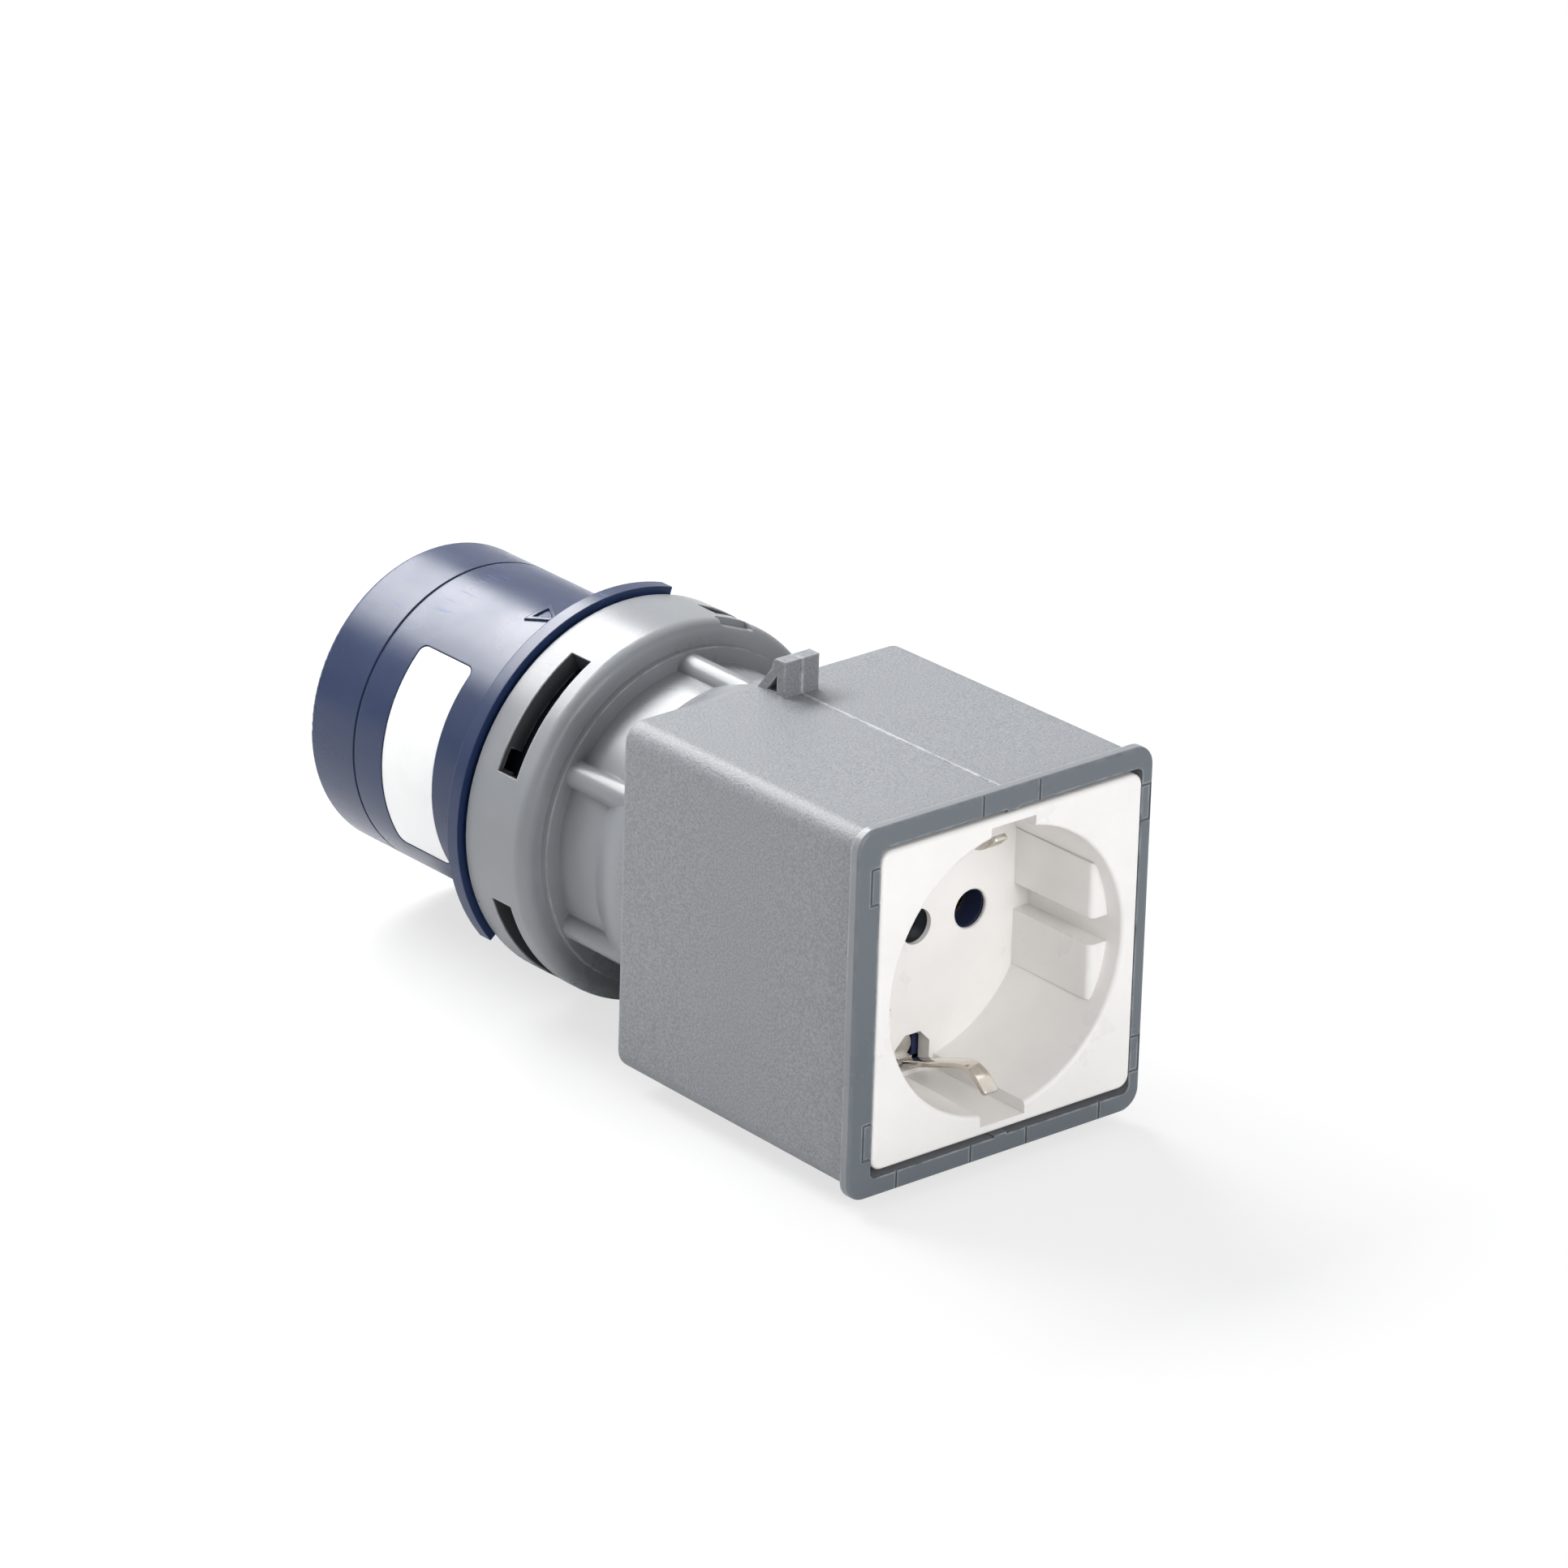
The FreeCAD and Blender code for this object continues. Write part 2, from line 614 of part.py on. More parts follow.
def rim_marks():
    """Fine mould lines in the rim's front face: seams across it and a tab outline at each corner."""
    depth = (-RIM_MARK_DEPTH, PAST)
    half_line = RIM_MARK_LINE / 2
    marks = []
    for side, seams in ((-1, RIM_SEAMS), (1, RIM_TOP_SEAMS)):
        opening_edge = -OPENING_DROP + side * OPENING_HEIGHT / 2
        z_ends = (side * (RIM_HEIGHT / 2 + PAST), opening_edge - side * NIB_HEIGHT)
        for y in seams:
            marks.append(block(depth, (y - half_line, y + half_line), z_ends))
    for side in (-1, 1):
        edge = SOCKET_SHIFT + side * OPENING_WIDTH / 2
        for above in (-1, 1):
            low = above * RIM_TAB_AT - RIM_TAB_LENGTH / 2
            high = low + RIM_TAB_LENGTH
            tab = block(depth, (edge, edge + side * RIM_TAB_WIDTH), (low, high))
            inner_side = edge + side * (RIM_TAB_WIDTH - RIM_MARK_LINE)
            inner = block(depth, (edge, inner_side), (low + RIM_MARK_LINE, high - RIM_MARK_LINE))
            marks.append(tab.cut(inner))
    return marks


def base_screw_places():
    """The (y, z) places of the two screws that hold the contact base."""
    return [(SOCKET_SHIFT + side * BASE_SCREW_OFFSET, side * BASE_SCREW_OFFSET) for side in (-1, 1)]


def housing():
    """Rim, box, flare, neck and collar in one moulding, with the posts for the contact base."""
    solid = joined(rim_and_box(), [round_outside(), lid_catch(), top_seam()] + neck_ribs())
    cavity_width = 2 * box_half_width(box_back) - BOX_LEFT_WALL - BOX_RIGHT_WALL
    cavity_middle = (BOX_LEFT_WALL - BOX_RIGHT_WALL) / 2
    cavity_height = 2 * (box_half_height(box_back) - BOX_TOP_WALL)
    hollows = [
        rounded_block(-OPENING_DEPTH, PAST, OPENING_WIDTH, OPENING_HEIGHT, OPENING_CORNER,
                      SOCKET_SHIFT, -OPENING_DROP),
        rounded_block(cavity_back, -OPENING_DEPTH + PAST, cavity_width, cavity_height, OPENING_CORNER,
                      cavity_middle),
        rod(NECK_BORE, cavity_back + PAST, collar_mouth),
        rod(COLLAR_BORE, collar_bore_end, collar_mouth - PAST),
        collar_flat(),
    ]
    solid = solid.cut(hollows + bayonet_cuts() + rim_marks())
    posts = []
    holes = []
    tip = base_front - BASE_SCREW_SINK - BASE_SCREW_LENGTH
    for y, z in base_screw_places():
        posts.append(rod(POST_RADIUS, retainer_back, cavity_back - BOX_BACK_WALL / 2, y, z))
        holes.append(rod(BASE_SHANK_RADIUS + FIXED_GAP, retainer_back + PAST, tip - LOOSE_GAP, y, z))
    return joined(solid, posts + opening_nibs()).cut(holes)


# Plug head

def arc_section(points, start, sweep):
    """A piece turned over an arc from the (x, radius) corners of its section."""
    corners = [Vector(x, radius, 0) for x, radius in points]
    face = Part.Face(Part.makePolygon(corners + corners[:1]))
    face.rotate(Vector(), AXIS_X, start)
    return face.revolve(Vector(), AXIS_X, sweep)


def flange():
    """The flange arcs that shade the collar's mouth."""
    section = [
        (flange_back, spigot_radius - SPIGOT_WALL / 2),
        (flange_back, FLANGE_RADIUS),
        (flange_front, FLANGE_RADIUS),
        (flange_front - FLANGE_SLOPE, SLEEVE_RADIUS - SLEEVE_WALL / 2),
    ]
    arcs = []
    for index in range(FLANGE_ARCS):
        start = FLANGE_FIRST_ANGLE + index * FULL_TURN / FLANGE_ARCS
        arcs.append(arc_section(section, start, FLANGE_SWEEP))
    return arcs


def bayonet_lugs():
    """The four lugs on the spigot, locked in the pockets just past the collar's windows."""
    lugs = []
    for angle in WINDOW_ANGLES:
        start = angle + WINDOW_SWEEP / 2 + TWIST - LUG_END_GAP - LUG_SWEEP
        lugs.append(arc_ring(LUG_RADIUS, spigot_radius - SPIGOT_WALL / 2, window_front + LOOSE_GAP,
                             window_back - LOOSE_GAP, start, LUG_SWEEP))
    return lugs


def key_rib():
    """The key along the underside of the sleeve, in line with the earth pin."""
    half = KEY_WIDTH / 2
    low = -SLEEVE_RADIUS - KEY_HEIGHT
    x_ends = (sleeve_mouth + KEY_FROM_MOUTH, flange_front)
    rib = block(x_ends, (-half, half), (low, -SLEEVE_RADIUS + SLEEVE_WALL / 2))
    return round_edges(rib, KEY_EDGE, lambda edge: abs(edge.BoundBox.ZMin - low) < SAME
                       and edge.BoundBox.ZLength < SAME and edge.BoundBox.YLength < SAME)


def curved_patch(outer, inner, inset):
    """A round-cornered patch on the sleeve, the label's place drawn in by an inset."""
    back = sleeve_mouth + LABEL_FROM_MOUTH
    start = LABEL_FROM_ANGLE + math.degrees(inset / SLEEVE_RADIUS)
    sweep = LABEL_TO_ANGLE - LABEL_FROM_ANGLE - 2 * math.degrees(inset / SLEEVE_RADIUS)
    patch = arc_ring(outer, inner, back + inset, back + LABEL_WIDTH - inset, start, sweep)
    return round_edges(patch, LABEL_CORNER, lambda edge: abs(edge.Length - (outer - inner)) < 0.001)


def triangle_mark():
    """The raised outline of a triangle that points along the plug towards the flange."""
    base = flange_front - TRIANGLE_FROM_FLANGE - TRIANGLE_LENGTH
    low = SLEEVE_RADIUS - SLEEVE_WALL / 2
    half = TRIANGLE_BASE / 2
    corners = [Vector(base, -half, low), Vector(base, half, low), Vector(base + TRIANGLE_LENGTH, 0, low)]
    outside = Part.Face(Part.makePolygon(corners + corners[:1]))
    inside = outside.makeOffset2D(-TRIANGLE_LINE)
    frame = outside.cut(inside).extrude(Vector(0, 0, SLEEVE_WALL))
    frame.rotate(Vector(), AXIS_X, TRIANGLE_ANGLE - RIGHT_ANGLE)
    return frame.common(rod(SLEEVE_RADIUS + TRIANGLE_PROUD, sleeve_mouth, flange_front))


def carrier_screw_places():
    """The (y, z) places of the screws between carrier and sleeve."""
    return [polar(CARRIER_SCREW_CIRCLE, angle) for angle in CARRIER_SCREW_ANGLES]


def pin_radius(name):
    """The radius of one of the three pins."""
    return EARTH_PIN_RADIUS if name == "earth" else LIVE_PIN_RADIUS


def plug_sleeve():
    """The blue sleeve round the pins, with its flange, floor, spigot and bayonet lugs."""
    tube = rod(SLEEVE_RADIUS, sleeve_mouth, flange_back)
    tube = round_edges(tube, SLEEVE_EDGE, lambda edge: lies_at_x(edge, sleeve_mouth))
    mark_at = sleeve_mouth + SLEEVE_MARK_AT
    mark_end = mark_at + SLEEVE_MARK_WIDTH
    groove = ring(SLEEVE_RADIUS + PAST, SLEEVE_RADIUS - SLEEVE_MARK_DEPTH, mark_at, mark_end)
    tube = tube.cut(groove)
    spigot = rod(spigot_radius, flange_front, spigot_end)
    solid = joined(tube, [spigot, key_rib(), triangle_mark()] + flange() + bayonet_lugs())
    hollows = [
        rod(sleeve_bore, sleeve_mouth - PAST, sleeve_floor),
        rod(spigot_radius - SPIGOT_WALL, carrier_front, spigot_end + PAST),
        curved_patch(SLEEVE_RADIUS + PAST, SLEEVE_RADIUS - LABEL_RECESS_DEPTH, 0),
    ]
    for name, angle in pin_places.items():
        foot = pin_radius(name) + PIN_FOOT_PROUD
        hollows.append(rod(foot + FIXED_GAP, sleeve_floor - PAST, carrier_front + PAST,
                           *polar(PIN_CIRCLE_RADIUS, angle)))
    tip = carrier_back - CARRIER_SCREW_LENGTH
    for y, z in carrier_screw_places():
        hollows.append(rod(SMALL_SHANK_RADIUS + FIXED_GAP, tip - LOOSE_GAP, carrier_front + PAST, y, z))
    return solid.cut(hollows)


def sleeve_label():
    """The plain label in its recess on the sleeve."""
    floor = SLEEVE_RADIUS - LABEL_RECESS_DEPTH
    return curved_patch(floor + LABEL_THICKNESS, floor, FIXED_GAP * 2)


def pin_carrier():
    """The insulating disc behind the sleeve's floor that holds the pins by their shoulders."""
    radius = spigot_radius - SPIGOT_WALL - FIXED_GAP
    solid = rod(radius, carrier_front, carrier_back)
    hollows = []
    for name, angle in pin_places.items():
        place = polar(PIN_CIRCLE_RADIUS, angle)
        shoulder = pin_radius(name) + PIN_SHOULDER_PROUD + FIXED_GAP
        hollows.append(rod(shoulder, carrier_front - PAST, carrier_front + PIN_SHOULDER_LENGTH, *place))
        hollows.append(rod(PIN_TAIL_RADIUS + FIXED_GAP, carrier_front, carrier_back + PAST, *place))
    for place in carrier_screw_places():
        hollows.append(rod(SMALL_SHANK_RADIUS + SCREW_CLEAR_HOLE, carrier_front - PAST, carrier_back,
                           *place))
        hollows.append(rod(SMALL_HEAD_RADIUS + SCREW_CLEAR_HOLE, carrier_back - SMALL_HEAD_LENGTH,
                           carrier_back + PAST, *place))
    return solid.cut(hollows)


def pin(name, reach, tip_rounding):
    """One round pin with its thicker foot, its shoulder and its hollow tail for the lead."""
    radius = pin_radius(name)
    y, z = polar(PIN_CIRCLE_RADIUS, pin_places[name])
    tip = sleeve_floor - reach
    front = rod(radius, tip, carrier_front, y, z)
    front = round_edges(front, tip_rounding, lambda edge: lies_at_x(edge, tip))
    foot = rod(radius + PIN_FOOT_PROUD, sleeve_floor, carrier_front, y, z)
    shoulder = rod(radius + PIN_SHOULDER_PROUD, carrier_front, carrier_front + PIN_SHOULDER_LENGTH, y, z)
    tail = rod(PIN_TAIL_RADIUS, carrier_front, pin_tail_end, y, z)
    hole = rod(FERRULE_RADIUS + FIXED_GAP, pin_tail_end - PIN_WIRE_HOLE_DEPTH, pin_tail_end + PAST, y, z)
    outward = Vector(0, y, z).normalize()
    screw_hole = Part.makeCylinder(CLAMP_SHANK_RADIUS + FIXED_GAP, PIN_TAIL_RADIUS + PAST,
                                   Vector(pin_tail_end - PIN_SCREW_FROM_TAIL, y, z), outward)
    return joined(front, [foot, shoulder, tail]).cut([hole, screw_hole])


def clamp_screw(seat):
    """A lead's clamping screw along X that stands on the lead, seat being its threaded depth."""
    length = CLAMP_HEAD_LENGTH + seat - FERRULE_RADIUS - FIXED_GAP
    return slotted_screw(CLAMP_HEAD_RADIUS, CLAMP_HEAD_LENGTH, CLAMP_SHANK_RADIUS, length)


def pin_clamp_screws():
    """The three screws that clamp the leads in the pins, pointing at the pins from outside."""
    screws = []
    for angle in pin_places.values():
        y, z = polar(PIN_CIRCLE_RADIUS + PIN_TAIL_RADIUS + CLAMP_HEAD_LENGTH, angle)
        inward = Vector(0, -y, -z).normalize()
        place = Vector(pin_tail_end - PIN_SCREW_FROM_TAIL, y, z)
        screws.append(screw_pointing(clamp_screw(PIN_TAIL_RADIUS), inward, place))
    return Part.makeCompound(screws)


def carrier_screws():
    """The two screws that draw the carrier against the sleeve's floor."""
    screw = slotted_screw(SMALL_HEAD_RADIUS, SMALL_HEAD_LENGTH, SMALL_SHANK_RADIUS, CARRIER_SCREW_LENGTH)
    screws = []
    for y, z in carrier_screw_places():
        screws.append(screw_pointing(screw, Vector(-1, 0, 0), Vector(carrier_back, y, z)))
    return Part.makeCompound(screws)


# Leads between plug and socket, each in two halves that meet behind the neck

def plug_lead(name):
    """The plug's half of a lead, straight back from the pin's tail."""
    end = leads_meet - LOOSE_GAP / 2
    return rod(LEAD_RADIUS, pin_tail_end, end, *polar(PIN_CIRCLE_RADIUS, pin_places[name]))


def plug_ferrules():
    """The bare ends of the three leads in the pins' tails."""
    ends = []
    for angle in pin_places.values():
        tip = pin_tail_end - PIN_WIRE_HOLE_DEPTH + LOOSE_GAP
        ends.append(rod(FERRULE_RADIUS, tip, pin_tail_end, *polar(PIN_CIRCLE_RADIUS, angle)))
    return Part.makeCompound(ends)


def bend_points(start, along, sideways, radius, turn):
    """Start, middle and end of an arc that leaves a place along a direction."""
    points = []
    for angle in (0, turn / 2, turn):
        step = along * (radius * math.sin(angle)) + sideways * (radius * (1 - math.cos(angle)))
        points.append(start + step)
    return points


def double_bend(start, end):
    """Two equal arcs between two places, both ends of the path lying along X."""
    offset = Vector(0, end.y - start.y, end.z - start.z)
    length = end.x - start.x
    if offset.Length < FIXED_GAP:
        return [Part.makeLine(start, end)]
    sideways = Vector(offset).normalize()
    radius = (length ** 2 + offset.Length ** 2) / (4 * offset.Length)
    turn = math.asin(length / 2 / radius)
    first = bend_points(start, AXIS_X, sideways, radius, turn)
    last = bend_points(end, -AXIS_X, -sideways, radius, turn)
    return [Part.Arc(*first).toShape(), Part.Arc(*reversed(last)).toShape()]


def socket_lead(name):
    """The socket's half of a lead, bent across to its terminal and through the rear plate."""
    start = Vector(leads_meet + LOOSE_GAP / 2, *polar(PIN_CIRCLE_RADIUS, pin_places[name]))
    end = Vector(terminal_back, *terminal_places[name])
    bend_start = start + AXIS_X * LEAD_STRAIGHT
    bend_end = Vector(retainer_back - LEAD_STRAIGHT, end.y, end.z)
    path = [Part.makeLine(start, bend_start)]
    path += double_bend(bend_start, bend_end)
    path.append(Part.makeLine(bend_end, end))
    section = Part.Wire(Part.makeCircle(LEAD_RADIUS, start, AXIS_X))
    return Part.Wire(path).makePipeShell([section], True, False)


def socket_ferrules():
    """The bare ends of the three leads in the socket's terminals."""
    ends = []
    tip = terminal_back + TERMINAL_HOLE_DEPTH - LOOSE_GAP
    for place in terminal_places.values():
        ends.append(rod(FERRULE_RADIUS, terminal_back, tip, *place))
    return Part.makeCompound(ends)


# Household socket

def guide_blocks():
    """The four blocks that guide a plug by its flat sides."""
    front = plate_face - GUIDE_START
    blocks = []
    for side in (-1, 1):
        flat = side * GUIDE_FLAT_AT
        for above in (-1, 1):
            outer = side * (CUP_RADIUS + CUP_WALL / 2)
            z_ends = (above * GUIDE_GROOVE_HALF, above * GUIDE_HALF_HEIGHT)
            guide = block((cup_floor - CUP_FLOOR / 2, front), (flat, outer), z_ends)
            guide = round_edges(guide, GUIDE_EDGE, lambda edge: lies_at_x(edge, front)
                                and abs(edge.CenterOfMass.y - flat) < SAME)
            blocks.append(guide.common(rod(CUP_RADIUS + CUP_WALL / 2, cup_floor - CUP_FLOOR / 2, front)))
    return blocks


def clip_hole():
    """The hole in the recess floor behind the upper earth clip."""
    half = CLIP_HOLE_HALF_WIDTH
    narrow = half - CLIP_HOLE_CHAMFER
    x = cover_back - PAST
    points = [
        Vector(x, -half, CLIP_HOLE_TO),
        Vector(x, half, CLIP_HOLE_TO),
        Vector(x, half, CLIP_HOLE_FROM + CLIP_HOLE_CHAMFER),
        Vector(x, narrow, CLIP_HOLE_FROM),
        Vector(x, -narrow, CLIP_HOLE_FROM),
        Vector(x, -half, CLIP_HOLE_FROM + CLIP_HOLE_CHAMFER),
    ]
    face = Part.Face(Part.makePolygon(points + points[:1]))
    return face.extrude(Vector(CUP_FLOOR + 2 * PAST, 0, 0))


def recess_hollow():
    """The slightly tapered recess, with its rounded entry."""
    entry = plate_face - CUP_ENTRY_EDGE
    outer = CUP_RADIUS + CUP_ENTRY_EDGE
    middle = CUP_ENTRY_EDGE * math.sin(math.pi / 4)
    edges = [
        line((cup_floor, 0), (cup_floor, CUP_FLOOR_RADIUS)),
        line((cup_floor, CUP_FLOOR_RADIUS), (entry, CUP_RADIUS)),
        arc((entry, CUP_RADIUS), (entry + middle, outer - middle), (plate_face, outer)),
        line((plate_face, outer), (plate_face, 0)),
        line((plate_face, 0), (cup_floor, 0)),
    ]
    return turned(edges)


def socket_cover():
    """The white plate with the recess for a household plug, on the socket's own axis."""
    back = plate_face - PLATE_THICKNESS
    plate = rounded_block(back, plate_face, PLATE_WIDTH, PLATE_HEIGHT, PLATE_CORNER)
    plate = round_edges(plate, PLATE_EDGE, lambda edge: lies_at_x(edge, plate_face))
    cup = rod(CUP_RADIUS + CUP_WALL, cover_back, back)
    half_channel = CHANNEL_WIDTH / 2
    half_wall = half_channel + CHANNEL_SIDE_WALL
    channel_top = CHANNEL_RADIUS + CHANNEL_WALL
    walls = block((cover_back, back), (-half_wall, half_wall), (-channel_top, channel_top))
    boss = rod(BOSS_RADIUS, cover_back - BOSS_LENGTH, cover_back)
    channels = block((cup_floor, plate_face + PAST), (-half_channel, half_channel),
                     (-CHANNEL_RADIUS, CHANNEL_RADIUS))
    ledge = cover_back - BOSS_LENGTH + BOSS_LEDGE
    hollows = [
        recess_hollow(),
        channels,
        clip_hole(),
        mirrored_over_socket(clip_hole()),
        rod(COVER_HOLE_RADIUS, ledge, cup_floor + PAST),
        rod(SMALL_SHANK_RADIUS + SCREW_CLEAR_HOLE, cover_back - BOSS_LENGTH - PAST, ledge),
    ]
    solid = joined(plate, [cup, walls, boss]).cut(hollows)
    solid = joined(solid, guide_blocks())
    holes = []
    for side in (-1, 1):
        y = side * PIN_HOLE_SPACING / 2
        holes.append(rod(PIN_HOLE_RADIUS, cover_back - PAST, cup_floor + PAST, y))
        holes.append(rod(BUSH_RADIUS + LOOSE_GAP, cover_back - PAST, bush_seat, y))
        holes.append(Part.makeCone(PIN_HOLE_RADIUS, PIN_HOLE_RADIUS + PIN_HOLE_EDGE, PIN_HOLE_EDGE,
                                   Vector(cup_floor - PIN_HOLE_EDGE, y, 0), AXIS_X))
    solid = solid.cut(holes)
    solid.translate(Vector(0, SOCKET_SHIFT, 0))
    return solid


def live_contact_pocket(y):
    """The hollow in the base for one live contact, open at the back."""
    rear = base_back - PAST
    half_neck = CONTACT_NECK_WIDTH / 2 + POCKET_GAP
    half_terminal = TERMINAL_SIZE / 2 + POCKET_GAP
    neck_front = tulip_back + CONTACT_NECK_LENGTH / 2 + POCKET_GAP
    tube = rod(TULIP_OUTER_RADIUS + POCKET_GAP, rear, base_front - BASE_FRONT_WALL, y)
    neck = block((rear, neck_front), (y - half_neck, y + half_neck), (0, TERMINAL_OFFSET))
    terminal = block((rear, terminal_front + POCKET_GAP), (y - half_terminal, y + half_terminal),
                     (TERMINAL_OFFSET - half_terminal, TERMINAL_OFFSET + half_terminal))
    return joined(tube, [neck, terminal])


def bridge_groove():
    """The shallow bed in the base's front for the earth bridge, and the slot for its tail."""
    half = BRIDGE_WIDTH / 2 + POCKET_GAP
    floor = bridge_back - LOOSE_GAP
    reach = bridge_reach + POCKET_GAP
    y_ends = (SOCKET_SHIFT - half, SOCKET_SHIFT + half)
    bed = block((floor, base_front + PAST), y_ends, (-reach, reach))
    round_bed = rod(BRIDGE_RING_RADIUS + POCKET_GAP, floor, base_front + PAST, SOCKET_SHIFT)
    half_tail = BRIDGE_THICKNESS / 2 + POCKET_GAP
    tail = block((terminal_front, base_front), y_ends,
                 (-EARTH_TERMINAL_AT - half_tail, -EARTH_TERMINAL_AT + half_tail))
    half_terminal = TERMINAL_SIZE / 2 + POCKET_GAP
    terminal = block((base_back - PAST, terminal_front + POCKET_GAP),
                     (SOCKET_SHIFT - half_terminal, SOCKET_SHIFT + half_terminal),
                     (-EARTH_TERMINAL_AT - half_terminal, -EARTH_TERMINAL_AT + half_terminal))
    return joined(bed, [round_bed, tail, terminal])


def contact_base():
    """The insulating block behind the recess that holds the contacts."""
    solid = rounded_block(base_back, base_front, BASE_WIDTH, base_height, BASE_CORNER, SOCKET_SHIFT)
    pin_rows = [SOCKET_SHIFT + side * PIN_HOLE_SPACING / 2 for side in (-1, 1)]
    bushes = [rod(BUSH_RADIUS, base_front - BASE_FRONT_WALL / 2, bush_front, y) for y in pin_rows]
    solid = joined(solid, bushes)
    boss_end = cover_back - BOSS_LENGTH
    cover_screw_tip = cover_screw_face - COVER_SCREW_LENGTH
    hollows = [
        bridge_groove(),
        rod(BOSS_RADIUS + SCREW_CLEAR_HOLE, boss_end - LOOSE_GAP, base_front + PAST, SOCKET_SHIFT),
        rod(SMALL_SHANK_RADIUS + FIXED_GAP, cover_screw_tip - LOOSE_GAP, base_front, SOCKET_SHIFT),
    ]
    for y in pin_rows:
        hollows.append(live_contact_pocket(y))
        hollows.append(rod(PIN_HOLE_RADIUS, base_front - BASE_FRONT_WALL - PAST, bush_front + PAST, y))
    for y, z in base_screw_places():
        sink = base_front - BASE_SCREW_SINK - BASE_HEAD_LENGTH
        hollows.append(rod(BASE_HEAD_RADIUS + SCREW_CLEAR_HOLE, sink, base_front + PAST, y, z))
        hollows.append(rod(BASE_SHANK_RADIUS + SCREW_CLEAR_HOLE, base_back - PAST, base_front, y, z))
    for name, (y, z) in terminal_places.items():
        upward = Vector(0, 0, math.copysign(1, z))
        hollows.append(Part.makeCylinder(CLAMP_HEAD_RADIUS + POCKET_GAP, base_height,
                                         Vector(clamp_at, y, z), upward))
    return solid.cut(hollows)


def contact_retainer():
    """The rear plate that closes the base, with a hole for each lead."""
    solid = rounded_block(retainer_back, base_back, BASE_WIDTH, base_height, BASE_CORNER, SOCKET_SHIFT)
    holes = []
    for place in terminal_places.values():
        holes.append(rod(LEAD_RADIUS + SCREW_CLEAR_HOLE, retainer_back - PAST, base_back + PAST, *place))
    for place in base_screw_places():
        holes.append(rod(BASE_SHANK_RADIUS + SCREW_CLEAR_HOLE, retainer_back - PAST, base_back + PAST,
                         *place))
    return solid.cut(holes)


def terminal_block(y, z):
    """A terminal with a hole for the lead from behind and one for its screw from outside."""
    half = TERMINAL_SIZE / 2
    body = block((terminal_back, terminal_front), (y - half, y + half), (z - half, z + half))
    lead_hole = rod(FERRULE_RADIUS + FIXED_GAP, terminal_back - PAST, terminal_back + TERMINAL_HOLE_DEPTH,
                    y, z)
    outward = Vector(0, 0, math.copysign(1, z))
    screw_hole = Part.makeCylinder(CLAMP_SHANK_RADIUS + FIXED_GAP, TERMINAL_SIZE, Vector(clamp_at, y, z),
                                   outward)
    return body, [lead_hole, screw_hole]


def live_contact(name):
    """A split sleeve that grips one pin of the household plug, with its terminal."""
    y, z = terminal_places[name]
    tube = rod(TULIP_OUTER_RADIUS, tulip_back, tulip_front, y)
    half_neck = CONTACT_NECK_WIDTH / 2
    neck = block((tulip_back - CONTACT_NECK_LENGTH / 2, tulip_back + CONTACT_NECK_LENGTH / 2),
                 (y - half_neck, y + half_neck), (TULIP_BORE, z - TERMINAL_SIZE / 2 + POCKET_GAP))
    body, holes = terminal_block(y, z)
    half_slot = TULIP_SLOT / 2
    reach = TULIP_OUTER_RADIUS + PAST
    slot = block((tulip_front - TULIP_SLOT_DEPTH, tulip_front + PAST), (y - reach, y + reach),
                 (-half_slot, half_slot))
    bore = rod(TULIP_BORE, tulip_back - CONTACT_NECK_LENGTH, tulip_front + PAST, y)
    return joined(tube, [neck, body]).cut([slot, bore] + holes)


def bridge_arm():
    """The upper arm of the earth bridge, with the tab and foot that reach to the clip."""
    half = BRIDGE_WIDTH / 2
    tab_back = bridge_back + BRIDGE_THICKNESS
    strap = block((bridge_back, tab_back), (-half, half), (0, bridge_reach))
    half_tab = BRIDGE_TAB_WIDTH / 2
    tab = block((tab_back, bridge_front), (-half_tab, half_tab), (BRIDGE_TAB_FROM + half_tab, BRIDGE_TAB_TO))
    tab_end = rod(half_tab, tab_back, bridge_front, 0, BRIDGE_TAB_FROM + half_tab)
    foot_end = -CLIP_ROOT_AT - CLIP_THICKNESS / 2 - LOOSE_GAP
    foot = block((tab_back, foot_end), (-CLIP_WIDTH / 2, CLIP_WIDTH / 2), (CLIP_ROOT_INNER, bridge_reach))
    return joined(strap, [tab, tab_end, foot])


def earth_bridge():
    """The strip that joins both earth clips behind the recess, with the earth terminal."""
    arm = bridge_arm()
    middle = rod(BRIDGE_RING_RADIUS, bridge_back, bridge_back + BRIDGE_THICKNESS)
    half = BRIDGE_WIDTH / 2
    half_thick = BRIDGE_THICKNESS / 2
    tail = block((terminal_front - PAST, bridge_back), (-half, half),
                 (-EARTH_TERMINAL_AT - half_thick, -EARTH_TERMINAL_AT + half_thick))
    strip = joined(middle, [arm, mirrored_over_socket(arm), tail])
    strip = strip.cut(rod(BOSS_RADIUS + LOOSE_GAP, bridge_back - PAST, bridge_front + PAST))
    strip.translate(Vector(0, SOCKET_SHIFT, 0))
    body, holes = terminal_block(*terminal_places["earth"])
    return joined(strip, [body]).cut(holes)


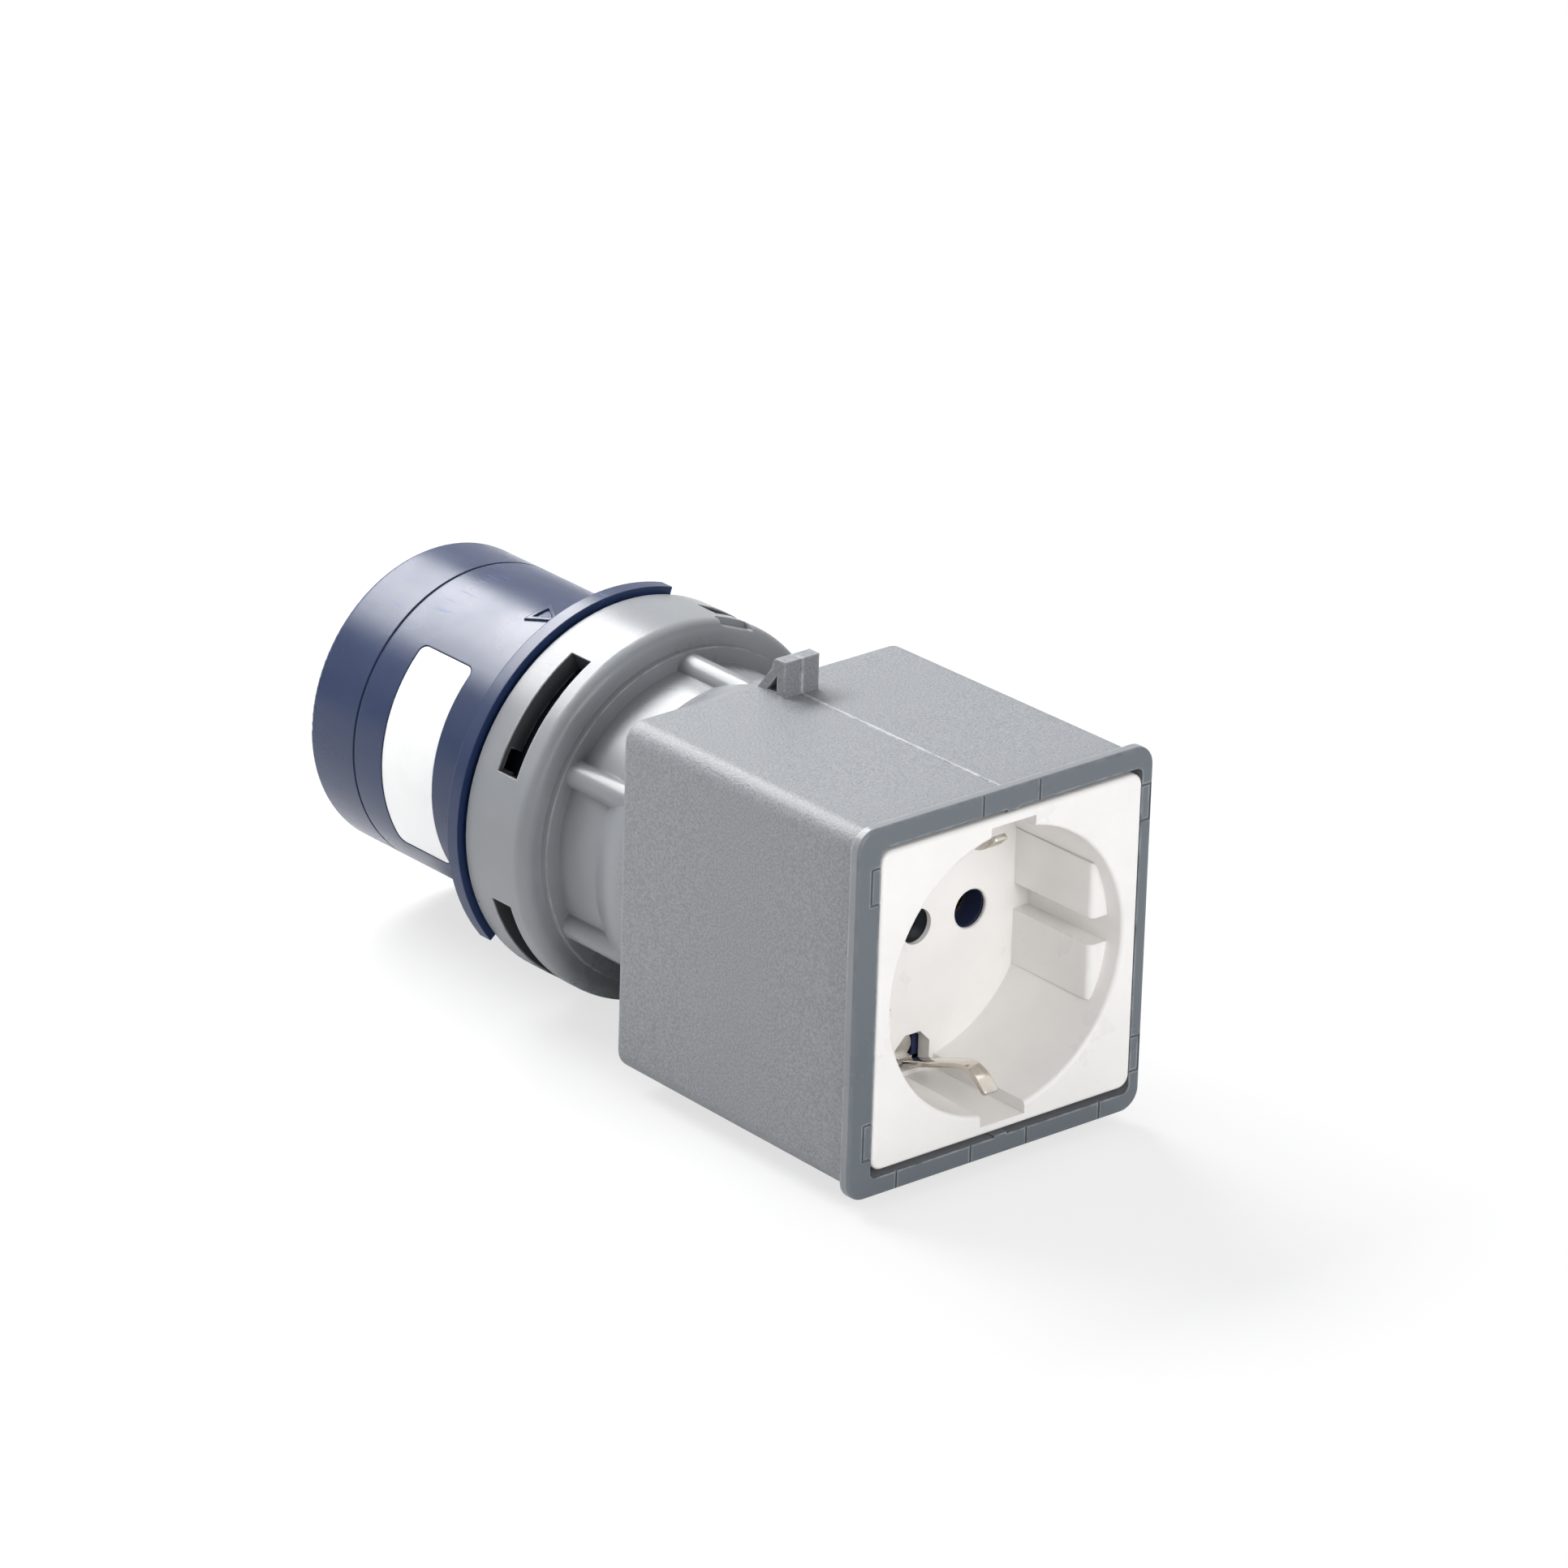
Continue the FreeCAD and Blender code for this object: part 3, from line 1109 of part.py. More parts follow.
def earth_clip():
    """The upper spring clip, from its bending line to the rounded tip."""
    inner = [
        (-CLIP_ROOT_AT, CLIP_ROOT_INNER),
        (-CLIP_BULGE_AT, CLIP_BULGE_INNER),
        (-CLIP_CREST_AT, CLIP_CREST_INNER),
        (-CLIP_TIP_AT, CLIP_TIP_INNER),
    ]
    outer = [(x, z + CLIP_THICKNESS) for x, z in reversed(inner)]
    half = CLIP_WIDTH / 2
    strip = side_prism(inner + outer, -half, half)
    bends = (-CLIP_BULGE_AT, -CLIP_CREST_AT)
    strip = round_edges(strip, CLIP_BEND_RADIUS, lambda edge: edge.BoundBox.XLength < SAME
                        and edge.BoundBox.ZLength < SAME
                        and min(abs(edge.CenterOfMass.x - x) for x in bends) < SAME)
    strip = round_edges(strip, CLIP_TIP_ROUNDING, lambda edge: edge.BoundBox.XLength < SAME
                        and edge.BoundBox.ZLength < SAME
                        and abs(edge.CenterOfMass.x + CLIP_TIP_AT) < SAME)
    root = Part.makeCylinder(CLIP_THICKNESS / 2, CLIP_WIDTH,
                             Vector(-CLIP_ROOT_AT, -half, CLIP_ROOT_INNER + CLIP_THICKNESS / 2), AXIS_Y)
    return joined(strip, [root])


def placed_on_socket(shape):
    """A shape moved from the plug's axis to the socket's axis."""
    moved = shape.copy()
    moved.translate(Vector(0, SOCKET_SHIFT, 0))
    return moved


def contact_clamp_screws():
    """The three screws that clamp the leads in the socket's terminals."""
    screws = []
    for y, z in terminal_places.values():
        side = math.copysign(1, z)
        place = Vector(clamp_at, y, z + side * (TERMINAL_SIZE / 2 + CLAMP_HEAD_LENGTH))
        screws.append(screw_pointing(clamp_screw(TERMINAL_SIZE / 2), Vector(0, 0, -side), place))
    return Part.makeCompound(screws)


def cover_screw():
    """The screw behind the recess's middle hole that holds the cover to the base."""
    screw = slotted_screw(SMALL_HEAD_RADIUS, SMALL_HEAD_LENGTH, SMALL_SHANK_RADIUS, COVER_SCREW_LENGTH)
    return screw_pointing(screw, Vector(-1, 0, 0), Vector(cover_screw_face, SOCKET_SHIFT, 0))


def base_screws():
    """The two screws that clamp the base and its rear plate to the housing's posts."""
    screw = slotted_screw(BASE_HEAD_RADIUS, BASE_HEAD_LENGTH, BASE_SHANK_RADIUS, BASE_SCREW_LENGTH)
    screws = []
    for y, z in base_screw_places():
        screws.append(screw_pointing(screw, Vector(-1, 0, 0), Vector(base_front - BASE_SCREW_SINK, y, z)))
    return Part.makeCompound(screws)


def all_pieces():
    """Every piece of the adapter by its name."""
    upper_clip = earth_clip()
    return {
        "housing": housing(),
        "plug_sleeve": plug_sleeve(),
        "sleeve_label": sleeve_label(),
        "pin_carrier": pin_carrier(),
        "phase_pin": pin("phase", LIVE_PIN_REACH, LIVE_PIN_TIP),
        "neutral_pin": pin("neutral", LIVE_PIN_REACH, LIVE_PIN_TIP),
        "earth_pin": pin("earth", EARTH_PIN_REACH, EARTH_PIN_TIP),
        "pin_clamp_screws": pin_clamp_screws(),
        "carrier_screws": carrier_screws(),
        "phase_lead_plug_end": plug_lead("phase"),
        "neutral_lead_plug_end": plug_lead("neutral"),
        "earth_lead_plug_end": plug_lead("earth"),
        "plug_ferrules": plug_ferrules(),
        "phase_lead_socket_end": socket_lead("phase"),
        "neutral_lead_socket_end": socket_lead("neutral"),
        "earth_lead_socket_end": socket_lead("earth"),
        "socket_ferrules": socket_ferrules(),
        "socket_cover": socket_cover(),
        "contact_base": contact_base(),
        "contact_retainer": contact_retainer(),
        "phase_contact": live_contact("phase"),
        "neutral_contact": live_contact("neutral"),
        "earth_bridge": earth_bridge(),
        "earth_clip_upper": placed_on_socket(upper_clip),
        "earth_clip_lower": placed_on_socket(mirrored_over_socket(upper_clip)),
        "contact_clamp_screws": contact_clamp_screws(),
        "cover_screw": cover_screw(),
        "base_screws": base_screws(),
    }


def main():
    """Writes each piece to its own file and says how many solids it holds."""
    os.makedirs("parts", exist_ok=True)
    for name, shape in all_pieces().items():
        print(name, len(shape.Solids), round(shape.Volume, 1), shape.isValid())
        shape.exportStep("parts/" + name + ".step")


main()
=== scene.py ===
"""Dresses the plug adapter in its plastics and metals and lights it in a small studio."""

import math

import bmesh
import bpy
from mathutils import Matrix, Vector


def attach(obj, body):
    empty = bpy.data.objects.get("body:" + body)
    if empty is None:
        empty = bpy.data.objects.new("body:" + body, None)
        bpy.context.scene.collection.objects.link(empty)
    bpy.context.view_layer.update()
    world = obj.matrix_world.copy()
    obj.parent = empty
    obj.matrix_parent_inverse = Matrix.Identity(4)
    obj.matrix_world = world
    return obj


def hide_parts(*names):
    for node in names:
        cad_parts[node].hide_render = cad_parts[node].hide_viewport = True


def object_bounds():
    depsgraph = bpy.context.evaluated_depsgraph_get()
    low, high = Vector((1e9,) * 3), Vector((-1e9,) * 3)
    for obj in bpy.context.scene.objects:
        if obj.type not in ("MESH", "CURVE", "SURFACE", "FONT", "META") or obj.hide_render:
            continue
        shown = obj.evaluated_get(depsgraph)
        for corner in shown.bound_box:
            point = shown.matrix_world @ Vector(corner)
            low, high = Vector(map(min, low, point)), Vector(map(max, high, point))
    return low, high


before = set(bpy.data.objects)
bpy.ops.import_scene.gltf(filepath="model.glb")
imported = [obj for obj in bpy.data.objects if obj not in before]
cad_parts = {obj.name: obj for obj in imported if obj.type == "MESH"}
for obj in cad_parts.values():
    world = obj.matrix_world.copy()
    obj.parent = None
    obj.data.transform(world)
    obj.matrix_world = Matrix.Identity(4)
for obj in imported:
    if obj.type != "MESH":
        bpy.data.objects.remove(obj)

bl_info = {
    "name": "Plug adapter",
    "version": (1, 0, 0),
    "blender": (4, 5, 0),
    "location": "View3D > Sidebar > Adapter",
    "description": "Finishes for a plug adapter, its spring clips and its studio",
    "category": "Object",
}

cad_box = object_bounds()

MM = 0.001
WHITE = (1.0, 1.0, 1.0, 1.0)

# Places on the part that its materials use, in metres
SOCKET_SHIFT = 1.0 * MM     # the socket's axis lies this far to +Y
RIM_FACE = -0.2 * MM        # the rim's front face is darker up to here
GRAIN_FRONT = -1.8 * MM     # the box's spark grain starts here, behind the rim
GRAIN_BACK = -47.0 * MM     # it fades from here
GRAIN_END = -52.0 * MM      # and is gone here, on the flare
SEAM_HALF = 0.32 * MM       # half the width of the raised seam on top of the box
SEAM_LOW = 20.0 * MM        # the seam is made pale, partly as wear and partly as a painted highlight, only above this height
SEAM_HIGH = 21.0 * MM       # and fully so from here
WINDOW_FRONT = -73.3 * MM   # the collar's walls get painted shade inside its windows, between these two
WINDOW_BACK = -68.9 * MM
WINDOW_INSIDE = 26.8 * MM   # and nearer to the axis than this
COLLAR_MOUTH = -77.6 * MM   # the sleeve gets painted shade from here on, inside the collar
WELL_LIP = -18.6 * MM       # painted shade fills the screw's well in the recess floor behind this
WELL_RADIUS = 3.0 * MM
SCRATCH_LOW = 12.0 * MM     # the sleeve is scratched only above this height
SCRATCH_HIGH = 20.0 * MM    # and fully so from here
EARTH_LEAD_AT = SOCKET_SHIFT / 2    # along Y, halfway between the earth lead's two ends
STRIPE_LOW = 0.55 * MM      # its stripes start between these distances from its middle
STRIPE_HIGH = 0.65 * MM
MASK_EDGE = 0.1 * MM        # width of the soft edge of a mask
WIDE_EDGE = 0.2 * MM        # the same where the mask ends on a rounded edge

# Looks of the materials; a tone is how much lighter or darker a colour is made
RIM_COLOUR = (0.118, 0.140, 0.158, 1.0)     # of the rim's front face
DUST_COLOUR = (0.62, 0.62, 0.60, 1.0)
PAINTED_SHADE_COLOUR = (0.010, 0.012, 0.020, 1.0)    # the painted shade inside the collar and down the screw's well
WINDOW_SHADE_TONE = 0.16          # of the painted shade on the housing inside the collar's windows
RUBBED_AND_HIGHLIGHT_TONE = 2.2           # of the housing's worn edges, and of its seam, which is partly wear and partly a painted highlight
WORN_TONE = 1.7             # of the other plastics' worn edges
SCRATCH_TONE = 6.0          # of scratches in plastic
METAL_SCRATCH_TONE = 1.3
FINE_GRAIN_TONE = 0.88
LEAD_CLOUD_TONE = 0.6
HOUSING_TONES = (0.95, 1.05)    # from the darkest to the lightest of the slow clouds
GRAIN_TONES = (0.84, 1.24)      # of the box's spark grain
PLASTIC_TONES = (0.96, 1.03)
METAL_TONES = (0.86, 1.08)
SMOOTH_ROUGHNESS = (0.26, 0.34)
GRAIN_ROUGHNESS = (0.36, 0.52)
LEAD_ROUGHNESS = (0.42, 0.55)
COAT_ROUGHNESS = 0.12
PLASTIC_SHINE = 0.32        # how strongly the mouldings mirror; 0.5 is usual for plastic
BOX_GRAIN_DEPTH = 0.06 * MM
FINE_GRAIN_DEPTH = 0.02 * MM
METAL_GRAIN_DEPTH = 0.01 * MM
METAL_SOFT_EDGE = 0.12 * MM

# Shares between 0 and 1 of what is mixed into a colour or a height
SPECKLE_SHARE = 0.85
RIM_SHARE = 0.85
WINDOW_SHADE_SHARE = 0.9
WEAR_SHARE = 0.75
DUST_SHARE = 0.25
FINE_GRAIN_SHARE = 0.12
SEAM_WEAR_AND_HIGHLIGHT_SHARES = (0.15, 0.85)     # the least and the most along the seam, of its wear and painted highlight
SCRATCH_SHARE = 0.5
SCRATCH_DEPTH = 0.4
METAL_SCRATCH_SHARE = 0.4
LEAD_CLOUD_SHARE = 0.2
PIT_SHARE = 0.5

# Grain and scratches
PIT_SCALE = 0.8             # of the pits, against the grains between them
PIT_SMOOTHNESS = 0.6
HOUSING_BUMP = 0.9
METAL_BUMP = 0.25
LEAD_BUMP = 0.3
OPEN_REACH = 3.0            # times the wear's radius, for the open space round an edge
SCRATCH_STRETCH = (0.04, 1.0, 1.0)  # the noise of the scratches is drawn out along X
SCRATCH_FILL = 0.4          # a scratch's width over that of a feature of its noise
BARE_LIMIT = 0.75           # noise below which a surface has no scratches, for a share of 0
SHARE_REACH = 0.5           # how much a share of 1 lowers that limit
BARE_EDGE = 0.08
METAL_SCRATCHED = 0.4       # share of a metal's surface that has scratches
SCRATCH_ROUGHNESS = 0.15    # that a scratch adds
METAL_SCRATCH_ROUGHNESS = 0.12

# Spans of the effects: up to the first value an effect is absent, from the second on it is full
GRAIN_SPAN = (0.40, 0.60)
CLOUD_SPAN = (0.3, 0.7)
BEND_SPAN = (0.995, 0.86)   # cosine of an edge's bend
OPEN_SPAN = (0.80, 0.96)    # share of open space round an edge
PATCH_SPAN = (0.35, 0.6)
LINE_SPAN = (0.60, 0.68)
UPWARD_SPAN = (0.3, 1.0)    # upward part of a face's direction
SPECK_SPAN = (0.60, 0.72)
SEAM_WEAR_AND_HIGHLIGHT_SPAN = (0.38, 0.62)

# Spring clips
CLIP_ROOT_AT = -18.5 * MM   # the bending line of each clip
CLIP_ROOT_OUT = 19.725 * MM  # its distance from the socket's axis
CLIP_SHANK_LENGTH = 11.0 * MM
CLIP_LEAN = 19.5            # degrees that the clip leans towards the axis
CLIP_HOOK_TURN = 61.5       # degrees from the leaning shank to the tip
CLIP_TIP_LENGTH = 1.9 * MM
CLIP_HOOK_STEPS = 14
CLIP_EDGE_STEPS = 3
CLIP_TIP_STEPS = 5
CLIP_SHARP_ANGLE = 50.0     # degrees; edges that bend more than this are rounded
CLIP_SMOOTH_ANGLE = 40.0    # degrees; edges that bend less than this are shaded smooth

# Studio, in metres
FLOOR_NEAR = 0.18           # the floor turns plain white between these distances from the origin
FLOOR_FAR = 0.60
FLOOR_TONE = 0.24           # how strongly the near floor shows light and shadow
FLOOR_GLOW = 0.70           # how much plain white it has besides
FLOOR_TONES = (0.78, 0.80)  # of the floor as the other pieces see it
FLOOR_CELLS = 8
SKY_COLOUR = (0.96, 0.98, 1.0, 1.0)
LAMP_TARGET = (-0.05, 0.0, 0.0)
LAMPS = {                   # place, width and height of each lamp
    "overhead": ((-0.10, 0.12, 0.75), 0.9, 0.7),
    "key": ((-0.50, -0.03, 0.46), 0.60, 0.20),
    "left": ((-0.45, -0.70, 0.42), 0.6, 0.5),
    "right": ((0.85, -0.12, 0.36), 0.5, 0.6),
}

# Camera of the photograph: its place in metres, and where its right and its top point
CAMERA_PLACE = Vector((0.8763357, -0.8009584, 0.5309397))
CAMERA_RIGHT = Vector((0.6469945, 0.7619604, 0.0285369))
CAMERA_UP = Vector((-0.3156746, 0.2336020, 0.9196628))
CAMERA_LENS = 230.37        # millimetres, like the sensor
SENSOR_WIDTH = 36.0
CAMERA_SEES_FROM = 0.05     # metres
CAMERA_SEES_TO = 20.0


def colour_property(name, words, default):
    """A colour that the user can change."""
    return bpy.props.FloatVectorProperty(name=name, description=words, default=default, size=4,
                                         min=0.0, max=1.0, subtype="COLOR")


def length_property(name, words, default):
    """A length that the user can change."""
    return bpy.props.FloatProperty(name=name, description=words, default=default, min=0.0,
                                   precision=5, unit="LENGTH")


class AdapterColours(bpy.types.PropertyGroup):
    """Colours of the adapter's plastics and metals."""
    housing: colour_property("Housing", "Grey of the housing", (0.222, 0.231, 0.246, 1))
    sleeve: colour_property("Sleeve", "Navy blue of the plug sleeve", (0.012, 0.025, 0.076, 1))
    cover: colour_property("Cover", "Warm white of the socket cover", (0.900, 0.880, 0.860, 1))
    label: colour_property("Label", "White of the bare label", (0.84, 0.84, 0.84, 1))
    carrier: colour_property("Carrier", "Black of the pin carrier", (0.020, 0.020, 0.022, 1))
    base: colour_property("Base", "Navy of the contact base", (0.022, 0.032, 0.080, 1))
    clip: colour_property("Clip", "Warm nickel of the earth clips", (0.70, 0.65, 0.58, 1))
    bridge: colour_property("Bridge", "Bright nickel of the earth bridge", (0.80, 0.78, 0.74, 1))
    pin: colour_property("Pin", "Nickel of the plug's pins", (0.60, 0.58, 0.54, 1))
    brass: colour_property("Brass", "Brass of the live contacts", (0.62, 0.42, 0.14, 1))
    screw: colour_property("Screw", "Zinc of the screws", (0.46, 0.48, 0.50, 1))
    ferrule: colour_property("Ferrule", "Tin of the lead ends", (0.58, 0.58, 0.59, 1))
    lead_brown: colour_property("Brown lead", "Insulation of the phase lead", (0.120, 0.045, 0.018, 1))
    lead_blue: colour_property("Blue lead", "Insulation of the neutral lead", (0.020, 0.095, 0.360, 1))
    lead_green: colour_property("Green lead", "Ground colour of the earth lead", (0.030, 0.260, 0.060, 1))
    lead_yellow: colour_property("Yellow stripe", "Stripe of the earth lead", (0.700, 0.520, 0.030, 1))


class ClipSizes(bpy.types.PropertyGroup):
    """Sizes of the two spring clips."""
    width: length_property("Width", "Width of the strip", 2.4 * MM)
    thickness: length_property("Thickness", "Thickness of the strip", 0.8 * MM)
    hook_radius: length_property("Hook radius", "Radius of the hook's bend", 4.5 * MM)
    edge: length_property("Edge", "Rounding along the strip's edges", 0.12 * MM)
    tip_rounding: length_property("Tip rounding", "Rounding of the tip's corners", 0.5 * MM)


class FinishSizes(bpy.types.PropertyGroup):
    """Sizes of the textures."""
    box_grain: length_property("Box grain", "Size of the spark grain on the box", 0.30 * MM)
    fine_grain: length_property("Fine grain", "Size of the grain on smooth mouldings", 0.16 * MM)
    soft_edge: length_property("Soft edge", "Rounding that moulded edges seem to have", 0.22 * MM)
    scratch_width: length_property("Scratch width", "Width of a hairline scratch", 0.10 * MM)


class StudioSettings(bpy.types.PropertyGroup):
    """Lamps and floor of the studio."""
    floor_width: length_property("Floor width", "Width of the pale floor", 4.0)
    overhead_power: bpy.props.FloatProperty(name="Overhead lamp", description="Power of the lamp above",
                                            default=1.0, min=0.0, unit="POWER")
    key_power: bpy.props.FloatProperty(name="Key lamp", description="Power of the lamp behind",
                                       default=6.9, min=0.0, unit="POWER")
    left_power: bpy.props.FloatProperty(name="Left lamp", description="Power of the lamp on the left",
                                        default=1.1, min=0.0, unit="POWER")
    right_power: bpy.props.FloatProperty(name="Right lamp", description="Power of the lamp on the right",
                                         default=4.8, min=0.0, unit="POWER")
    sky_strength: bpy.props.FloatProperty(name="Surroundings", description="Light from all around",
                                          default=0.28, min=0.0)


# Node helpers

def node(tree, kind, **settings):
    """A new node of a tree with its settings."""
    made = tree.nodes.new(kind)
    for name, value in settings.items():
        setattr(made, name, value)
    return made


def feed(tree, source, socket):
    """Joins a source to a socket; a plain number or colour is written on the socket."""
    if isinstance(source, bpy.types.NodeSocket):
        tree.links.new(source, socket)
    else:
        socket.default_value = source


def math_node(tree, operation, *sources):
    """The output of a Math node with its sources."""
    made = node(tree, "ShaderNodeMath", operation=operation)
    for index, source in enumerate(sources):
        feed(tree, source, made.inputs[index])
    return made.outputs[0]


def times(tree, first, second):
    """The product of two values."""
    return math_node(tree, "MULTIPLY", first, second)


def remap(tree, source, from_low, from_high, to_low=0.0, to_high=1.0):
    """A value moved from one span to another, held at its ends."""
    made = node(tree, "ShaderNodeMapRange")
    for index, value in enumerate((source, from_low, from_high, to_low, to_high)):
        feed(tree, value, made.inputs[index])
    return made.outputs[0]


def spread_over(tree, amount, span):
    """A value in a span, from an amount between 0 and 1."""
    return remap(tree, amount, 0.0, 1.0, *span)


def mixed(tree, amount, first, second):
    """A colour between two colours."""
    made = node(tree, "ShaderNodeMix", data_type="RGBA")
    feed(tree, amount, made.inputs["Factor"])
    feed(tree, first, made.inputs[6])
    feed(tree, second, made.inputs[7])
    return made.outputs[2]


def noise(tree, vector, scale, detail, roughness):
    """A noise value of a scale in features per metre."""
    made = node(tree, "ShaderNodeTexNoise")
    feed(tree, vector, made.inputs["Vector"])
    feed(tree, scale, made.inputs["Scale"])
    feed(tree, detail, made.inputs["Detail"])
    feed(tree, roughness, made.inputs["Roughness"])
    return made.outputs[0]


def new_group(name, inputs, outputs):
    """An empty shader node group with named inputs and outputs."""
    group = bpy.data.node_groups.new(name, "ShaderNodeTree")
    for label, kind, default in inputs:
        socket = group.interface.new_socket(name=label, in_out="INPUT", socket_type=kind)
        if default is not None:
            socket.default_value = default
    for label, kind in outputs:
        group.interface.new_socket(name=label, in_out="OUTPUT", socket_type=kind)
    return group, node(group, "NodeGroupInput").outputs, node(group, "NodeGroupOutput").inputs


FLOAT = "NodeSocketFloat"
VECTOR = "NodeSocketVector"


def make_grain_group():
    """Grain of a spark-worn mould: fine pits and grains, as a height and a light and dark tone."""
    group, given, result = new_group(
        "Moulded grain",
        [("Vector", VECTOR, None), ("Grains per metre", FLOAT, 3000.0)],
        [("Height", FLOAT), ("Tone", FLOAT)],
    )
    coarse = noise(group, given["Vector"], given["Grains per metre"], detail=3.0, roughness=0.6)
    pits = node(group, "ShaderNodeTexVoronoi", feature="SMOOTH_F1")
    feed(group, given["Vector"], pits.inputs["Vector"])
    feed(group, times(group, given["Grains per metre"], PIT_SCALE), pits.inputs["Scale"])
    feed(group, PIT_SMOOTHNESS, pits.inputs["Smoothness"])
    height = math_node(group, "ADD", coarse, times(group, pits.outputs["Distance"], PIT_SHARE))
    feed(group, height, result["Height"])
    feed(group, remap(group, coarse, *GRAIN_SPAN), result["Tone"])
    return group


def make_cloud_group():
    """Slow changes over a surface, as a value between a low and a high one."""
    group, given, result = new_group(
        "Soft clouds",
        [("Vector", VECTOR, None), ("Clouds per metre", FLOAT, 60.0), ("Low", FLOAT, 0.0),
         ("High", FLOAT, 1.0)],
        [("Value", FLOAT)],
    )
    clouds = noise(group, given["Vector"], given["Clouds per metre"], detail=4.0, roughness=0.55)
    feed(group, remap(group, clouds, *CLOUD_SPAN, given["Low"], given["High"]), result["Value"])
    return group


def make_edge_group():
    """Wear on outward edges, patchy along them, as a mask."""
    group, given, result = new_group(
        "Worn edges",
        [("Vector", VECTOR, None), ("Radius", FLOAT, 0.4 * MM), ("Patches per metre", FLOAT, 300.0)],
        [("Wear", FLOAT)],
    )
    rounded = node(group, "ShaderNodeBevel", samples=4)
    feed(group, given["Radius"], rounded.inputs["Radius"])
    flat = node(group, "ShaderNodeNewGeometry")
    dot = node(group, "ShaderNodeVectorMath", operation="DOT_PRODUCT")
    feed(group, rounded.outputs["Normal"], dot.inputs[0])
    feed(group, flat.outputs["Normal"], dot.inputs[1])
    bend = remap(group, dot.outputs["Value"], *BEND_SPAN)
    open_sky = node(group, "ShaderNodeAmbientOcclusion", samples=4, only_local=True)
    feed(group, times(group, given["Radius"], OPEN_REACH), open_sky.inputs["Distance"])
    outward = remap(group, open_sky.outputs["AO"], *OPEN_SPAN)
    uneven = noise(group, given["Vector"], given["Patches per metre"], detail=3.0, roughness=0.6)
    patches = remap(group, uneven, *PATCH_SPAN)
    on_edge = times(group, bend, outward)
    feed(group, times(group, on_edge, patches), result["Wear"])
    return group


def make_scratch_group():
    """Hairline scratches along the part's long axis, as plugging in leaves them."""
    group, given, result = new_group(
        "Hairline scratches",
        [("Vector", VECTOR, None), ("Width", FLOAT, 0.1 * MM), ("Share", FLOAT, 0.3)],
        [("Scratch", FLOAT)],
    )
    stretched = node(group, "ShaderNodeMapping")
    feed(group, given["Vector"], stretched.inputs["Vector"])
    feed(group, SCRATCH_STRETCH, stretched.inputs["Scale"])
    lines_per_metre = math_node(group, "DIVIDE", SCRATCH_FILL, given["Width"])
    fine = noise(group, stretched.outputs[0], lines_per_metre, detail=2.0, roughness=0.7)
    lines = remap(group, fine, *LINE_SPAN)
    where = noise(group, given["Vector"], scale=140.0, detail=3.0, roughness=0.5)
    low = math_node(group, "SUBTRACT", BARE_LIMIT, times(group, given["Share"], SHARE_REACH))
    shown = remap(group, where, low, math_node(group, "ADD", low, BARE_EDGE))
    feed(group, times(group, lines, shown), result["Scratch"])
    return group


def make_dust_group():
    """A trace of dust on faces that look up."""
    group, given, result = new_group(
        "Settled dust",
        [("Vector", VECTOR, None), ("Amount", FLOAT, 0.3)],
        [("Dust", FLOAT)],
    )
    geometry = node(group, "ShaderNodeNewGeometry")
    parts = node(group, "ShaderNodeSeparateXYZ")
    feed(group, geometry.outputs["Normal"], parts.inputs[0])
    upward = remap(group, parts.outputs["Z"], *UPWARD_SPAN)
    grit = noise(group, given["Vector"], scale=2400.0, detail=4.0, roughness=0.7)
    specks = remap(group, grit, *SPECK_SPAN)
    spread = times(group, upward, specks)
    feed(group, times(group, spread, given["Amount"]), result["Dust"])
    return group


GROUP_MAKERS = {
    "Moulded grain": make_grain_group,
    "Soft clouds": make_cloud_group,
    "Worn edges": make_edge_group,
    "Hairline scratches": make_scratch_group,
    "Settled dust": make_dust_group,
}


def effect(tree, name, **values):
    """A shared effect placed in a material, with its inputs given by name."""
    group = bpy.data.node_groups.get(name) or GROUP_MAKERS[name]()
    placed = node(tree, "ShaderNodeGroup", node_tree=group)
    for label, source in values.items():
        feed(tree, source, placed.inputs[label.replace("_", " ")])
    return placed.outputs


def new_material(name):
    """An empty material: its tree, its shader and the object's own coordinates."""
    material = bpy.data.materials.new(name)
    material.use_nodes = True
    tree = material.node_tree
    tree.nodes.clear()
    shader = node(tree, "ShaderNodeBsdfPrincipled")
    output = node(tree, "ShaderNodeOutputMaterial")
    feed(tree, shader.outputs[0], output.inputs["Surface"])
    place = node(tree, "ShaderNodeTexCoord").outputs["Object"]
    return material, tree, shader, place


def bumped(tree, height, strength, distance, soft_edge=0.0):
    """A normal with a height on it, over edges that seem a little rounded."""
    bump = node(tree, "ShaderNodeBump")
    feed(tree, strength, bump.inputs["Strength"])
    feed(tree, distance, bump.inputs["Distance"])
    feed(tree, height, bump.inputs["Height"])
    if soft_edge:
        rounded = node(tree, "ShaderNodeBevel", samples=6)
        feed(tree, soft_edge, rounded.inputs["Radius"])
        feed(tree, rounded.outputs["Normal"], bump.inputs["Normal"])
    return bump.outputs["Normal"]


def shaded(colour, factor):
    """A colour made lighter or darker."""
    return tuple(min(1.0, part * factor) for part in colour[:3]) + (1.0,)


def toned(tree, amount, colour, tones):
    """A colour between two tones of a colour."""
    first, second = (shaded(colour, tone) for tone in tones)
    return mixed(tree, amount, first, second)


def split(tree, place):
    """The X, Y and Z of a place."""
    parts = node(tree, "ShaderNodeSeparateXYZ")
    feed(tree, place, parts.inputs[0])
    return parts.outputs["X"], parts.outputs["Y"], parts.outputs["Z"]


def between(tree, value, low, high):
    """A mask that is 1 between two values, with soft edges."""
    above = remap(tree, value, low - MASK_EDGE / 2, low + MASK_EDGE / 2)
    below = remap(tree, value, high + MASK_EDGE / 2, high - MASK_EDGE / 2)
    return times(tree, above, below)


def from_axis(tree, y, z):
    """The distance from the part's long axis."""
    squares = math_node(tree, "ADD", times(tree, y, y), times(tree, z, z))
    return math_node(tree, "SQRT", squares)


